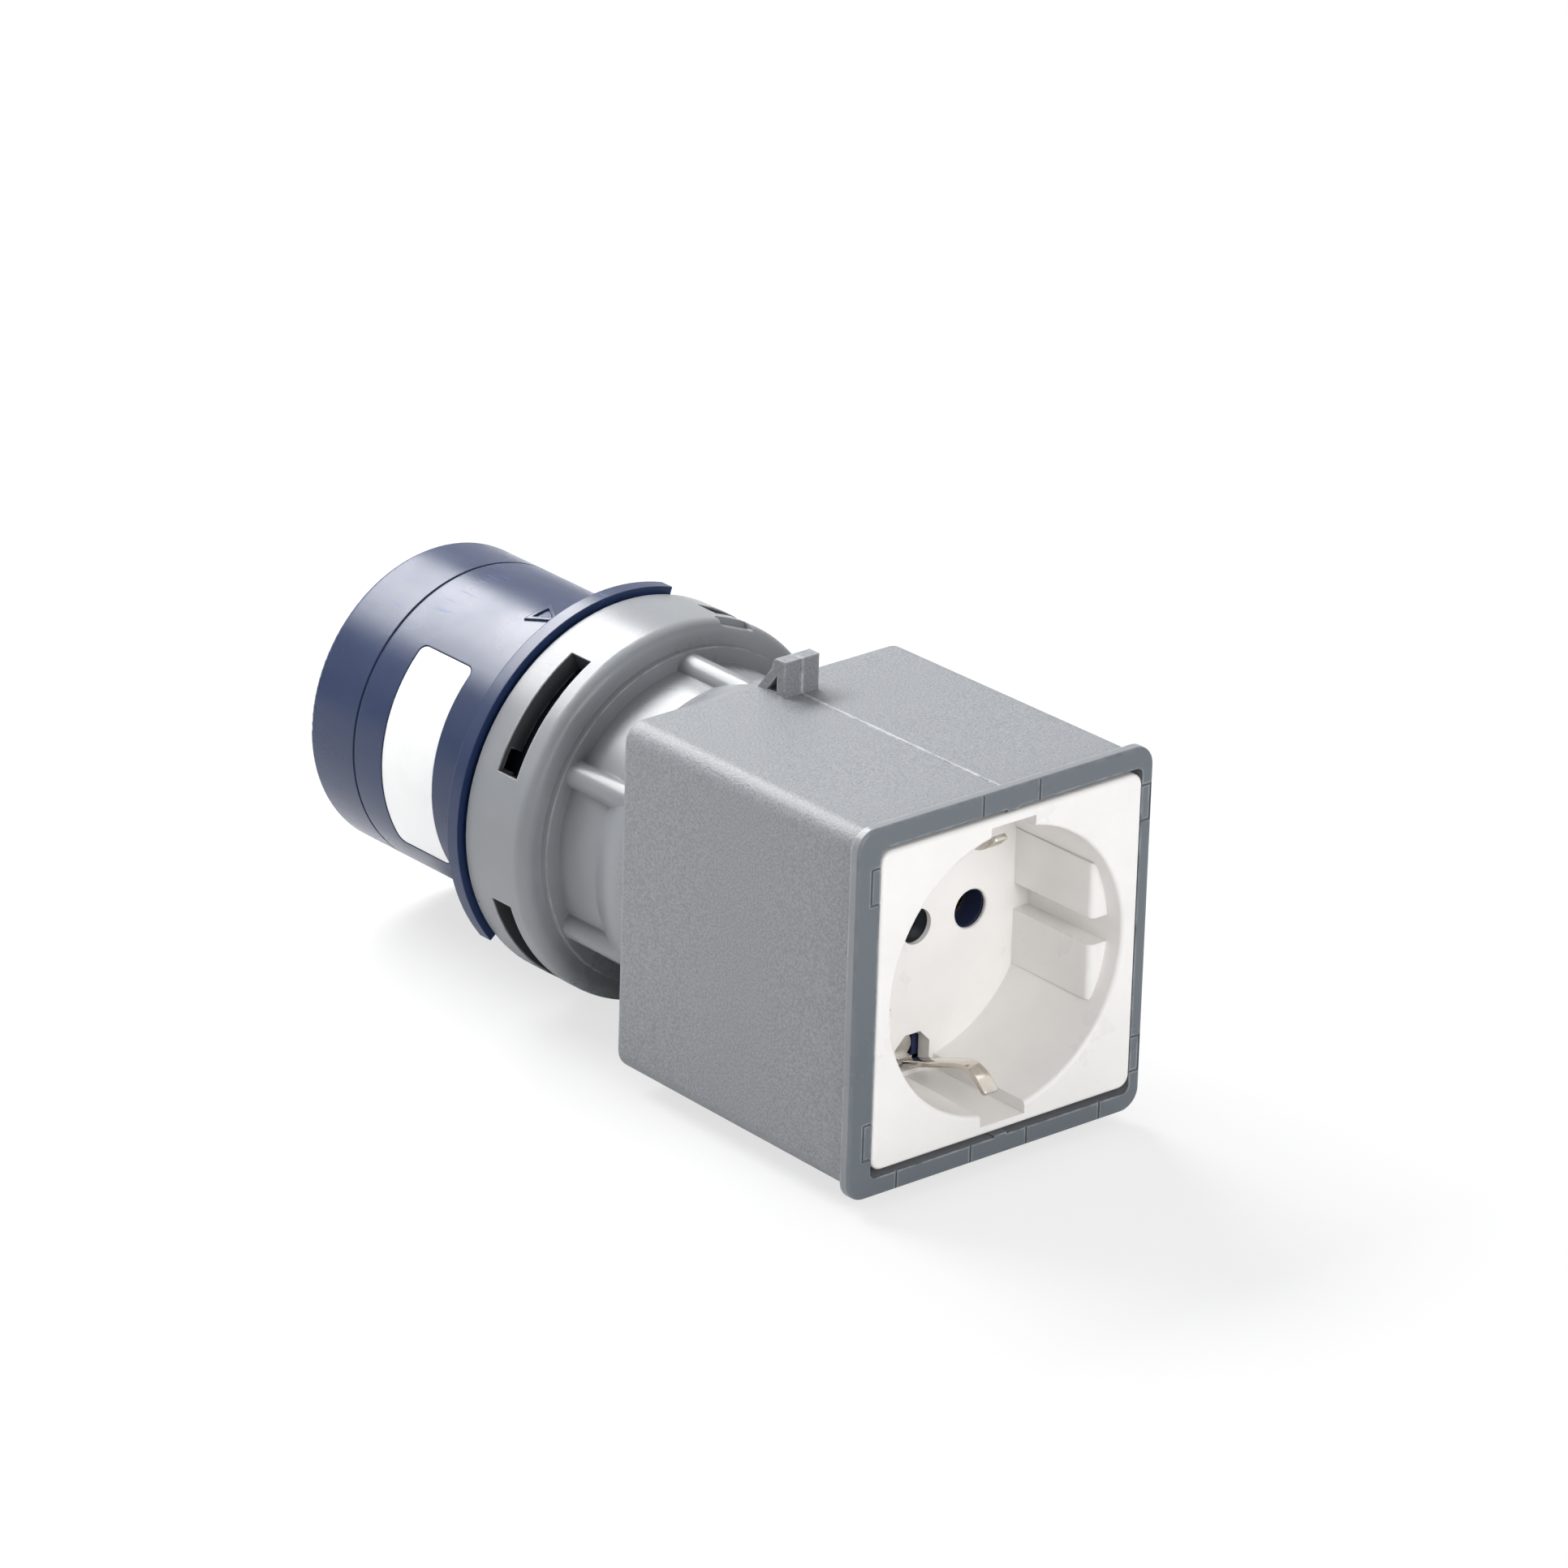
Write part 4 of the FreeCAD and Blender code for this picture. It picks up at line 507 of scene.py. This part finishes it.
def housing_material(colours, finish):
    """Grey moulded plastic: spark grain on the box, smoother on neck, collar and rim; painted shade inside
    the windows, and a seam that is partly worn and partly a painted highlight.
    """
    material, tree, shader, place = new_material("Housing grey")
    x, y, z = split(tree, place)
    grainy = times(tree, remap(tree, x, GRAIN_END, GRAIN_BACK),
                   remap(tree, x, GRAIN_FRONT, GRAIN_FRONT - WIDE_EDGE))
    rim = remap(tree, x, RIM_FACE - WIDE_EDGE, RIM_FACE)
    # painted shade on the collar's walls inside its windows
    window_shade = times(tree, between(tree, x, WINDOW_FRONT, WINDOW_BACK),
                   remap(tree, from_axis(tree, y, z), WINDOW_INSIDE + MASK_EDGE, WINDOW_INSIDE))
    box_top = times(tree, grainy, remap(tree, z, SEAM_LOW, SEAM_HIGH))
    seam_line = between(tree, y, SOCKET_SHIFT - SEAM_HALF, SOCKET_SHIFT + SEAM_HALF)
    seam = times(tree, seam_line, box_top)
    grain = effect(tree, "Moulded grain", Vector=place, Grains_per_metre=1.0 / finish.box_grain)
    fine = effect(tree, "Moulded grain", Vector=place, Grains_per_metre=1.0 / finish.fine_grain)
    clouds = effect(tree, "Soft clouds", Vector=place, Clouds_per_metre=70.0, Low=0.0, High=1.0)
    wear = effect(tree, "Worn edges", Vector=place, Radius=0.5 * MM, Patches_per_metre=350.0)
    dust = effect(tree, "Settled dust", Vector=place, Amount=DUST_SHARE)
    base = tuple(colours.housing)
    colour = toned(tree, clouds["Value"], base, HOUSING_TONES)
    speckles = toned(tree, grain["Tone"], base, GRAIN_TONES)
    colour = mixed(tree, times(tree, grainy, SPECKLE_SHARE), colour, speckles)
    colour = mixed(tree, times(tree, rim, RIM_SHARE), colour, RIM_COLOUR)
    # painted shade: the housing inside the windows is made much darker
    colour = mixed(tree, times(tree, window_shade, WINDOW_SHADE_SHARE), colour, shaded(base, WINDOW_SHADE_TONE))
    # the seam is made pale: partly wear, partly a painted highlight along the ridge
    uneven = noise(tree, place, scale=500.0, detail=3.0, roughness=0.6)
    seam_wear_and_highlight = remap(tree, uneven, *SEAM_WEAR_AND_HIGHLIGHT_SPAN, *SEAM_WEAR_AND_HIGHLIGHT_SHARES)
    pale = shaded(base, RUBBED_AND_HIGHLIGHT_TONE)
    colour = mixed(tree, times(tree, seam, seam_wear_and_highlight), colour, pale)
    colour = mixed(tree, times(tree, wear["Wear"], WEAR_SHARE), colour, pale)
    colour = mixed(tree, dust["Dust"], colour, DUST_COLOUR)
    feed(tree, colour, shader.inputs["Base Color"])
    smooth_rough = spread_over(tree, clouds["Value"], SMOOTH_ROUGHNESS)
    grain_rough = spread_over(tree, grain["Tone"], GRAIN_ROUGHNESS)
    rougher = math_node(tree, "SUBTRACT", grain_rough, smooth_rough)
    rough = math_node(tree, "ADD", smooth_rough, times(tree, grainy, rougher))
    feed(tree, rough, shader.inputs["Roughness"])
    height = math_node(tree, "ADD", times(tree, grain["Height"], grainy),
                       times(tree, fine["Height"], FINE_GRAIN_SHARE))
    normal = bumped(tree, height, HOUSING_BUMP, BOX_GRAIN_DEPTH, finish.soft_edge)
    feed(tree, normal, shader.inputs["Normal"])
    shader.inputs["Specular IOR Level"].default_value = PLASTIC_SHINE
    return material


def collar_painted_shade(tree, place):
    """A mask of painted shade, 1 on the part of the sleeve that stands in the collar."""
    return remap(tree, split(tree, place)[0], COLLAR_MOUTH, COLLAR_MOUTH + WIDE_EDGE)


def well_painted_shade(tree, place):
    """A mask of painted shade, 1 down in the well of the cover's screw."""
    x, y, z = split(tree, place)
    near = from_axis(tree, math_node(tree, "SUBTRACT", y, SOCKET_SHIFT), z)
    return times(tree, remap(tree, x, WELL_LIP, WELL_LIP - MASK_EDGE),
                 remap(tree, near, WELL_RADIUS, WELL_RADIUS - MASK_EDGE))


def plastic_material(name, colour, finish, rough, spread, grain, worn=0.25, scratched=0.0, gloss=0.0,
                     painted_shade=None):
    """A smooth moulded plastic with faint clouds, fine grain, soft edges and light use.

    The last argument is a function that gives the mask of a place painted dark as shade, if there is one.
    """
    material, tree, shader, place = new_material(name)
    fine = effect(tree, "Moulded grain", Vector=place, Grains_per_metre=1.0 / finish.fine_grain)
    clouds = effect(tree, "Soft clouds", Vector=place, Clouds_per_metre=90.0, Low=0.0, High=1.0)
    wear = effect(tree, "Worn edges", Vector=place, Radius=0.4 * MM, Patches_per_metre=420.0)
    base = tuple(colour)
    tone = toned(tree, clouds["Value"], base, PLASTIC_TONES)
    speckled = times(tree, fine["Tone"], FINE_GRAIN_SHARE)
    tone = mixed(tree, speckled, tone, shaded(base, FINE_GRAIN_TONE))
    tone = mixed(tree, times(tree, wear["Wear"], worn), tone, shaded(base, WORN_TONE))
    roughness = spread_over(tree, clouds["Value"], (rough - spread, rough + spread))
    height = fine["Height"]
    if scratched:
        lines = effect(tree, "Hairline scratches", Vector=place, Width=finish.scratch_width, Share=scratched)
        near_top = remap(tree, split(tree, place)[2], SCRATCH_LOW, SCRATCH_HIGH)
        scratch = times(tree, lines["Scratch"], near_top)
        tone = mixed(tree, times(tree, scratch, SCRATCH_SHARE), tone, shaded(base, SCRATCH_TONE))
        roughness = math_node(tree, "ADD", roughness, times(tree, scratch, SCRATCH_ROUGHNESS))
        height = math_node(tree, "SUBTRACT", height, times(tree, scratch, SCRATCH_DEPTH))
    if painted_shade:
        # painted shade: the masked place is painted near black
        tone = mixed(tree, painted_shade(tree, place), tone, PAINTED_SHADE_COLOUR)
    feed(tree, tone, shader.inputs["Base Color"])
    feed(tree, roughness, shader.inputs["Roughness"])
    feed(tree, bumped(tree, height, grain, FINE_GRAIN_DEPTH, finish.soft_edge), shader.inputs["Normal"])
    shader.inputs["Specular IOR Level"].default_value = PLASTIC_SHINE
    shader.inputs["Coat Weight"].default_value = gloss
    shader.inputs["Coat Roughness"].default_value = COAT_ROUGHNESS
    return material


def metal_material(name, colour, finish, rough, spread):
    """A bare or plated metal with clouds and hairlines."""
    material, tree, shader, place = new_material(name)
    clouds = effect(tree, "Soft clouds", Vector=place, Clouds_per_metre=260.0, Low=0.0, High=1.0)
    scratch = effect(tree, "Hairline scratches", Vector=place, Width=finish.scratch_width,
                     Share=METAL_SCRATCHED)
    base = tuple(colour)
    tone = toned(tree, clouds["Value"], base, METAL_TONES)
    scratched = times(tree, scratch["Scratch"], METAL_SCRATCH_SHARE)
    tone = mixed(tree, scratched, tone, shaded(base, METAL_SCRATCH_TONE))
    cloudy = spread_over(tree, clouds["Value"], (rough - spread, rough + spread))
    rougher = times(tree, scratch["Scratch"], METAL_SCRATCH_ROUGHNESS)
    roughness = math_node(tree, "ADD", cloudy, rougher)
    feed(tree, tone, shader.inputs["Base Color"])
    feed(tree, roughness, shader.inputs["Roughness"])
    normal = bumped(tree, scratch["Scratch"], METAL_BUMP, METAL_GRAIN_DEPTH, METAL_SOFT_EDGE)
    feed(tree, normal, shader.inputs["Normal"])
    shader.inputs["Metallic"].default_value = 1.0
    return material


def striped_lead_material(colours, finish):
    """Green insulation with a yellow stripe along each side."""
    material, tree, shader, place = new_material("Lead green and yellow")
    clouds = effect(tree, "Soft clouds", Vector=place, Clouds_per_metre=200.0, Low=0.0, High=1.0)
    fine = effect(tree, "Moulded grain", Vector=place, Grains_per_metre=1.0 / finish.fine_grain)
    offset = math_node(tree, "SUBTRACT", split(tree, place)[1], EARTH_LEAD_AT)
    stripe = remap(tree, math_node(tree, "ABSOLUTE", offset), STRIPE_LOW, STRIPE_HIGH)
    green = tuple(colours.lead_green)
    colour = mixed(tree, stripe, green, tuple(colours.lead_yellow))
    cloudy = times(tree, clouds["Value"], LEAD_CLOUD_SHARE)
    colour = mixed(tree, cloudy, colour, shaded(green, LEAD_CLOUD_TONE))
    feed(tree, colour, shader.inputs["Base Color"])
    feed(tree, spread_over(tree, clouds["Value"], LEAD_ROUGHNESS), shader.inputs["Roughness"])
    feed(tree, bumped(tree, fine["Height"], LEAD_BUMP, FINE_GRAIN_DEPTH), shader.inputs["Normal"])
    return material


def dress(names, material):
    """Gives CAD nodes one material."""
    for name in names:
        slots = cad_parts[name].data.materials
        slots.clear()
        slots.append(material)


def deselect_all():
    """Leaves nothing selected."""
    bpy.ops.object.select_all(action="DESELECT")


# Spring clip

def end_face_step(place, heading, length):
    """Extrudes the selected end face along a heading and gives its new place."""
    move = Vector((math.cos(heading), 0.0, math.sin(heading))) * length
    bpy.ops.mesh.extrude_region_move(TRANSFORM_OT_translate={"value": move})
    return place + move


def bend_strip(place, sizes):
    """Extrudes the selected end face along the clip's shank, round its hook and to the tip."""
    heading = math.radians(-CLIP_LEAN)
    place = end_face_step(place, heading, CLIP_SHANK_LENGTH / 2)
    place = end_face_step(place, heading, CLIP_SHANK_LENGTH / 2)
    turn = math.radians(CLIP_HOOK_TURN) / CLIP_HOOK_STEPS
    chord = 2 * sizes.hook_radius * math.sin(turn / 2)
    for _ in range(CLIP_HOOK_STEPS):
        place = end_face_step(place, heading + turn / 2, chord)
        heading += turn
        bpy.ops.transform.rotate(value=turn, orient_axis="Y", center_override=place)
    end_face_step(place, heading, CLIP_TIP_LENGTH)


def make_clip(name, sizes, side):
    """One spring clip above (side 1) or below (side -1) the socket's axis, its hook outward."""
    deselect_all()
    start = Vector((CLIP_ROOT_AT, SOCKET_SHIFT, CLIP_ROOT_OUT))
    bpy.ops.mesh.primitive_plane_add(size=1.0, location=start,
                                     rotation=(0.0, math.radians(90 + CLIP_LEAN), 0.0))
    clip = bpy.context.active_object
    clip.name = name
    clip.data.name = name
    clip.scale = (sizes.thickness, sizes.width, 1.0)
    bpy.ops.object.transform_apply(location=True, rotation=True, scale=True)
    bpy.ops.object.mode_set(mode="EDIT")
    bpy.ops.mesh.select_all(action="SELECT")
    bend_strip(start, sizes)
    bpy.ops.object.mode_set(mode="OBJECT")
    if side < 0:
        clip.data.transform(Matrix.Diagonal((1.0, 1.0, -1.0, 1.0)))
    bpy.ops.object.mode_set(mode="EDIT")
    bpy.ops.mesh.select_all(action="SELECT")
    bpy.ops.mesh.normals_make_consistent(inside=False)
    bpy.ops.object.mode_set(mode="OBJECT")
    round_tip(clip, sizes)
    soften = clip.modifiers.new("Edges", "BEVEL")
    soften.width = sizes.edge
    soften.segments = CLIP_EDGE_STEPS
    soften.limit_method = "ANGLE"
    soften.angle_limit = math.radians(CLIP_SHARP_ANGLE)
    bpy.ops.object.modifier_apply(modifier=soften.name)
    bpy.ops.object.shade_smooth_by_angle(angle=math.radians(CLIP_SMOOTH_ANGLE))
    return clip


def round_tip(clip, sizes):
    """Rounds the two short edges at the tip's corners."""
    tip = max(corner.co.x for corner in clip.data.vertices)
    bpy.ops.object.mode_set(mode="EDIT")
    bpy.ops.mesh.select_mode(type="EDGE")
    bpy.ops.mesh.select_all(action="DESELECT")
    mesh = bmesh.from_edit_mesh(clip.data)
    for edge in mesh.edges:
        first, second = (corner.co for corner in edge.verts)
        near_tip = min(first.x, second.x) > tip - sizes.thickness
        edge.select = near_tip and abs(first.y - second.y) < sizes.edge
    bmesh.update_edit_mesh(clip.data)
    bpy.ops.mesh.bevel(offset=sizes.tip_rounding, segments=CLIP_TIP_STEPS, affect="EDGES")
    bpy.ops.object.mode_set(mode="OBJECT")


# Studio

def area_lamp(name, place, width, height, power):
    """A soft rectangular lamp that faces the part."""
    data = bpy.data.lights.new(name, "AREA")
    data.shape = "RECTANGLE"
    data.size = width
    data.size_y = height
    data.energy = power
    lamp = bpy.data.objects.new(name, data)
    lamp.location = place
    lamp.rotation_euler = (Vector(LAMP_TARGET) - Vector(place)).to_track_quat("-Z", "Y").to_euler()
    bpy.context.scene.collection.objects.link(lamp)


def make_floor(settings):
    """The pale floor under the adapter; the camera sees it fade into plain white."""
    deselect_all()
    low = cad_box[0][2]
    bpy.ops.mesh.primitive_grid_add(x_subdivisions=FLOOR_CELLS, y_subdivisions=FLOOR_CELLS,
                                    size=settings.floor_width, location=(0.0, 0.0, low))
    floor = bpy.context.active_object
    floor.name = "studio_floor"
    bpy.ops.object.transform_apply(location=True, rotation=True, scale=True)
    material = bpy.data.materials.new("Studio floor")
    material.use_nodes = True
    tree = material.node_tree
    tree.nodes.clear()
    place = node(tree, "ShaderNodeTexCoord").outputs["Object"]
    clouds = effect(tree, "Soft clouds", Vector=place, Clouds_per_metre=6.0, Low=0.0, High=1.0)
    tone = toned(tree, clouds["Value"], WHITE, FLOOR_TONES)
    seen = node(tree, "ShaderNodeLightPath").outputs["Is Camera Ray"]
    matte = node(tree, "ShaderNodeBsdfDiffuse")
    x, y, _ = split(tree, place)
    far = remap(tree, from_axis(tree, x, y), FLOOR_NEAR, FLOOR_FAR)
    shown = toned(tree, far, WHITE, (FLOOR_TONE, 0.0))
    feed(tree, mixed(tree, seen, tone, shown), matte.inputs["Color"])
    glow = node(tree, "ShaderNodeEmission")
    strength = spread_over(tree, far, (FLOOR_GLOW, 1.0))
    feed(tree, times(tree, seen, strength), glow.inputs["Strength"])
    both = node(tree, "ShaderNodeAddShader")
    feed(tree, matte.outputs[0], both.inputs[0])
    feed(tree, glow.outputs[0], both.inputs[1])
    feed(tree, both.outputs[0], node(tree, "ShaderNodeOutputMaterial").inputs["Surface"])
    floor.data.materials.append(material)


def make_surroundings(settings):
    """Soft light from all around, behind it plain white."""
    world = bpy.data.worlds.new("Studio surroundings")
    bpy.context.scene.world = world
    world.use_nodes = True
    tree = world.node_tree
    tree.nodes.clear()
    soft = node(tree, "ShaderNodeBackground")
    feed(tree, SKY_COLOUR, soft.inputs["Color"])
    feed(tree, settings.sky_strength, soft.inputs["Strength"])
    white = node(tree, "ShaderNodeBackground")
    feed(tree, 1.0, white.inputs["Strength"])
    feed(tree, WHITE, white.inputs["Color"])
    seen = node(tree, "ShaderNodeLightPath")
    choice = node(tree, "ShaderNodeMixShader")
    direct = math_node(tree, "MAXIMUM", seen.outputs["Is Camera Ray"], seen.outputs["Is Transmission Ray"])
    feed(tree, math_node(tree, "MAXIMUM", direct, seen.outputs["Is Glossy Ray"]), choice.inputs[0])
    feed(tree, soft.outputs[0], choice.inputs[1])
    feed(tree, white.outputs[0], choice.inputs[2])
    feed(tree, choice.outputs[0], node(tree, "ShaderNodeOutputWorld").inputs["Surface"])


def make_camera():
    """The camera at the photograph's place."""
    data = bpy.data.cameras.new("Photograph camera")
    data.lens = CAMERA_LENS
    data.sensor_width = SENSOR_WIDTH
    data.clip_start = CAMERA_SEES_FROM
    data.clip_end = CAMERA_SEES_TO
    camera = bpy.data.objects.new("photograph_camera", data)
    back = CAMERA_RIGHT.cross(CAMERA_UP)
    turn = Matrix((CAMERA_RIGHT, CAMERA_UP, back)).transposed()
    camera.matrix_world = Matrix.Translation(CAMERA_PLACE) @ turn.to_4x4()
    bpy.context.scene.collection.objects.link(camera)
    bpy.context.scene.camera = camera


# Operators

class AdapterOperator:
    """What every operator of this add-on shares."""
    bl_options = {"REGISTER", "UNDO"}


class ADAPTER_OT_housing(AdapterOperator, bpy.types.Operator):
    """Finish the grey housing"""
    bl_idname = "adapter.housing"
    bl_label = "Housing"

    def execute(self, context):
        dress(["housing"], housing_material(context.scene.adapter_colours, context.scene.adapter_finish))
        return {"FINISHED"}


class ADAPTER_OT_sleeve(AdapterOperator, bpy.types.Operator):
    """Finish the blue plug sleeve"""
    bl_idname = "adapter.sleeve"
    bl_label = "Plug sleeve"

    def execute(self, context):
        scene = context.scene
        # the sleeve inside the collar gets painted shade
        material = plastic_material("Sleeve blue", scene.adapter_colours.sleeve, scene.adapter_finish,
                                    rough=0.30, spread=0.05, grain=0.30, worn=0.10, scratched=0.45,
                                    painted_shade=collar_painted_shade)
        dress(["plug_sleeve"], material)
        return {"FINISHED"}


class ADAPTER_OT_label(AdapterOperator, bpy.types.Operator):
    """Finish the bare white label"""
    bl_idname = "adapter.label"
    bl_label = "Label"

    def execute(self, context):
        scene = context.scene
        material = plastic_material("Label white", scene.adapter_colours.label, scene.adapter_finish,
                                    rough=0.45, spread=0.06, grain=0.15, worn=0.0)
        dress(["sleeve_label"], material)
        return {"FINISHED"}


class ADAPTER_OT_insulators(AdapterOperator, bpy.types.Operator):
    """Finish the pin carrier, the contact base and its retainer"""
    bl_idname = "adapter.insulators"
    bl_label = "Insulators"

    def execute(self, context):
        scene = context.scene
        colours = scene.adapter_colours
        black = plastic_material("Insulator black", colours.carrier, scene.adapter_finish,
                                 rough=0.48, spread=0.06, grain=0.4)
        navy = plastic_material("Insulator blue", colours.base, scene.adapter_finish,
                                rough=0.50, spread=0.06, grain=0.4)
        dress(["pin_carrier"], black)
        dress(["contact_base", "contact_retainer"], navy)
        return {"FINISHED"}


class ADAPTER_OT_pins(AdapterOperator, bpy.types.Operator):
    """Finish the three pins"""
    bl_idname = "adapter.pins"
    bl_label = "Pins"

    def execute(self, context):
        scene = context.scene
        material = metal_material("Pin nickel", scene.adapter_colours.pin, scene.adapter_finish,
                                  rough=0.24, spread=0.06)
        dress(["phase_pin", "neutral_pin", "earth_pin"], material)
        return {"FINISHED"}


class ADAPTER_OT_contacts(AdapterOperator, bpy.types.Operator):
    """Finish the contacts and the earth bridge"""
    bl_idname = "adapter.contacts"
    bl_label = "Contacts"

    def execute(self, context):
        scene = context.scene
        colours = scene.adapter_colours
        brass = metal_material("Contact brass", colours.brass, scene.adapter_finish,
                               rough=0.28, spread=0.07)
        nickel = metal_material("Bridge nickel", colours.bridge, scene.adapter_finish,
                                rough=0.34, spread=0.05)
        dress(["phase_contact", "neutral_contact"], brass)
        dress(["earth_bridge"], nickel)
        return {"FINISHED"}


class ADAPTER_OT_screws(AdapterOperator, bpy.types.Operator):
    """Finish the screws"""
    bl_idname = "adapter.screws"
    bl_label = "Screws"

    def execute(self, context):
        scene = context.scene
        material = metal_material("Screw zinc", scene.adapter_colours.screw, scene.adapter_finish,
                                  rough=0.30, spread=0.06)
        dress(["pin_clamp_screws", "carrier_screws", "contact_clamp_screws", "cover_screw", "base_screws"],
              material)
        return {"FINISHED"}


class ADAPTER_OT_leads(AdapterOperator, bpy.types.Operator):
    """Finish the leads and their bare ends"""
    bl_idname = "adapter.leads"
    bl_label = "Leads"

    def execute(self, context):
        scene = context.scene
        colours = scene.adapter_colours
        finish = scene.adapter_finish
        brown = plastic_material("Lead brown", colours.lead_brown, finish,
                                 rough=0.48, spread=0.05, grain=0.3, worn=0.0)
        blue = plastic_material("Lead blue", colours.lead_blue, finish,
                                rough=0.48, spread=0.05, grain=0.3, worn=0.0)
        tin = metal_material("Ferrule tin", colours.ferrule, finish, rough=0.36, spread=0.06)
        dress(["phase_lead_plug_end", "phase_lead_socket_end"], brown)
        dress(["neutral_lead_plug_end", "neutral_lead_socket_end"], blue)
        dress(["earth_lead_plug_end", "earth_lead_socket_end"], striped_lead_material(colours, finish))
        dress(["plug_ferrules", "socket_ferrules"], tin)
        return {"FINISHED"}


class ADAPTER_OT_cover(AdapterOperator, bpy.types.Operator):
    """Finish the white socket cover"""
    bl_idname = "adapter.cover"
    bl_label = "Socket cover"

    def execute(self, context):
        scene = context.scene
        # the screw's well gets painted shade
        material = plastic_material("Cover white", scene.adapter_colours.cover, scene.adapter_finish,
                                    rough=0.30, spread=0.04, grain=0.12, worn=0.0, gloss=0.15,
                                    painted_shade=well_painted_shade)
        dress(["socket_cover"], material)
        return {"FINISHED"}


class ADAPTER_OT_clips(AdapterOperator, bpy.types.Operator):
    """Bend the two spring clips from strip"""
    bl_idname = "adapter.clips"
    bl_label = "Spring clips"

    def execute(self, context):
        scene = context.scene
        material = metal_material("Clip nickel", scene.adapter_colours.clip, scene.adapter_finish,
                                  rough=0.16, spread=0.04)
        for side, end in ((1, "upper"), (-1, "lower")):
            clip = make_clip("spring_clip_" + end, scene.adapter_clips, side)
            clip.data.materials.append(material)
            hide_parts("earth_clip_" + end)
            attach(clip, "clip_" + end)
        return {"FINISHED"}


class ADAPTER_OT_stage(AdapterOperator, bpy.types.Operator):
    """Build the floor, the lamps, the surroundings and the camera"""
    bl_idname = "adapter.stage"
    bl_label = "Stage"

    def execute(self, context):
        settings = context.scene.adapter_studio
        make_floor(settings)
        make_surroundings(settings)
        for name, (place, width, height) in LAMPS.items():
            area_lamp("lamp_" + name, place, width, height, getattr(settings, name + "_power"))
        make_camera()
        context.scene.view_settings.view_transform = "Standard"
        return {"FINISHED"}


class ADAPTER_PT_panel(bpy.types.Panel):
    """The adapter's panel in the 3D view's sidebar"""
    bl_idname = "ADAPTER_PT_panel"
    bl_label = "Plug adapter"
    bl_space_type = "VIEW_3D"
    bl_region_type = "UI"
    bl_category = "Adapter"

    def draw(self, context):
        layout = self.layout
        for operator in OPERATORS:
            layout.operator(operator.bl_idname)
        for group in (context.scene.adapter_colours, context.scene.adapter_clips,
                      context.scene.adapter_finish, context.scene.adapter_studio):
            column = layout.column()
            for name in group.__annotations__:
                column.prop(group, name)


OPERATORS = (
    ADAPTER_OT_housing, ADAPTER_OT_sleeve, ADAPTER_OT_label, ADAPTER_OT_insulators, ADAPTER_OT_pins,
    ADAPTER_OT_contacts, ADAPTER_OT_screws, ADAPTER_OT_leads, ADAPTER_OT_cover, ADAPTER_OT_clips,
    ADAPTER_OT_stage,
)
SETTINGS = {
    "adapter_colours": AdapterColours,
    "adapter_clips": ClipSizes,
    "adapter_finish": FinishSizes,
    "adapter_studio": StudioSettings,
}
CLASSES = tuple(SETTINGS.values()) + OPERATORS + (ADAPTER_PT_panel,)


def register():
    """Adds the classes and the scene's settings."""
    for kind in CLASSES:
        bpy.utils.register_class(kind)
    for name, kind in SETTINGS.items():
        setattr(bpy.types.Scene, name, bpy.props.PointerProperty(type=kind))


def unregister():
    """Takes the settings and the classes away again."""
    for name in SETTINGS:
        delattr(bpy.types.Scene, name)
    for kind in reversed(CLASSES):
        bpy.utils.unregister_class(kind)


def main():
    """Dresses the adapter, piece by piece, and builds the studio."""
    register()
    bpy.ops.adapter.housing()
    bpy.ops.adapter.sleeve()
    bpy.ops.adapter.label()
    bpy.ops.adapter.insulators()
    bpy.ops.adapter.pins()
    bpy.ops.adapter.contacts()
    bpy.ops.adapter.screws()
    bpy.ops.adapter.leads()
    bpy.ops.adapter.cover()
    bpy.ops.adapter.clips()
    bpy.ops.adapter.stage()


if __name__ == "__main__":
    main()
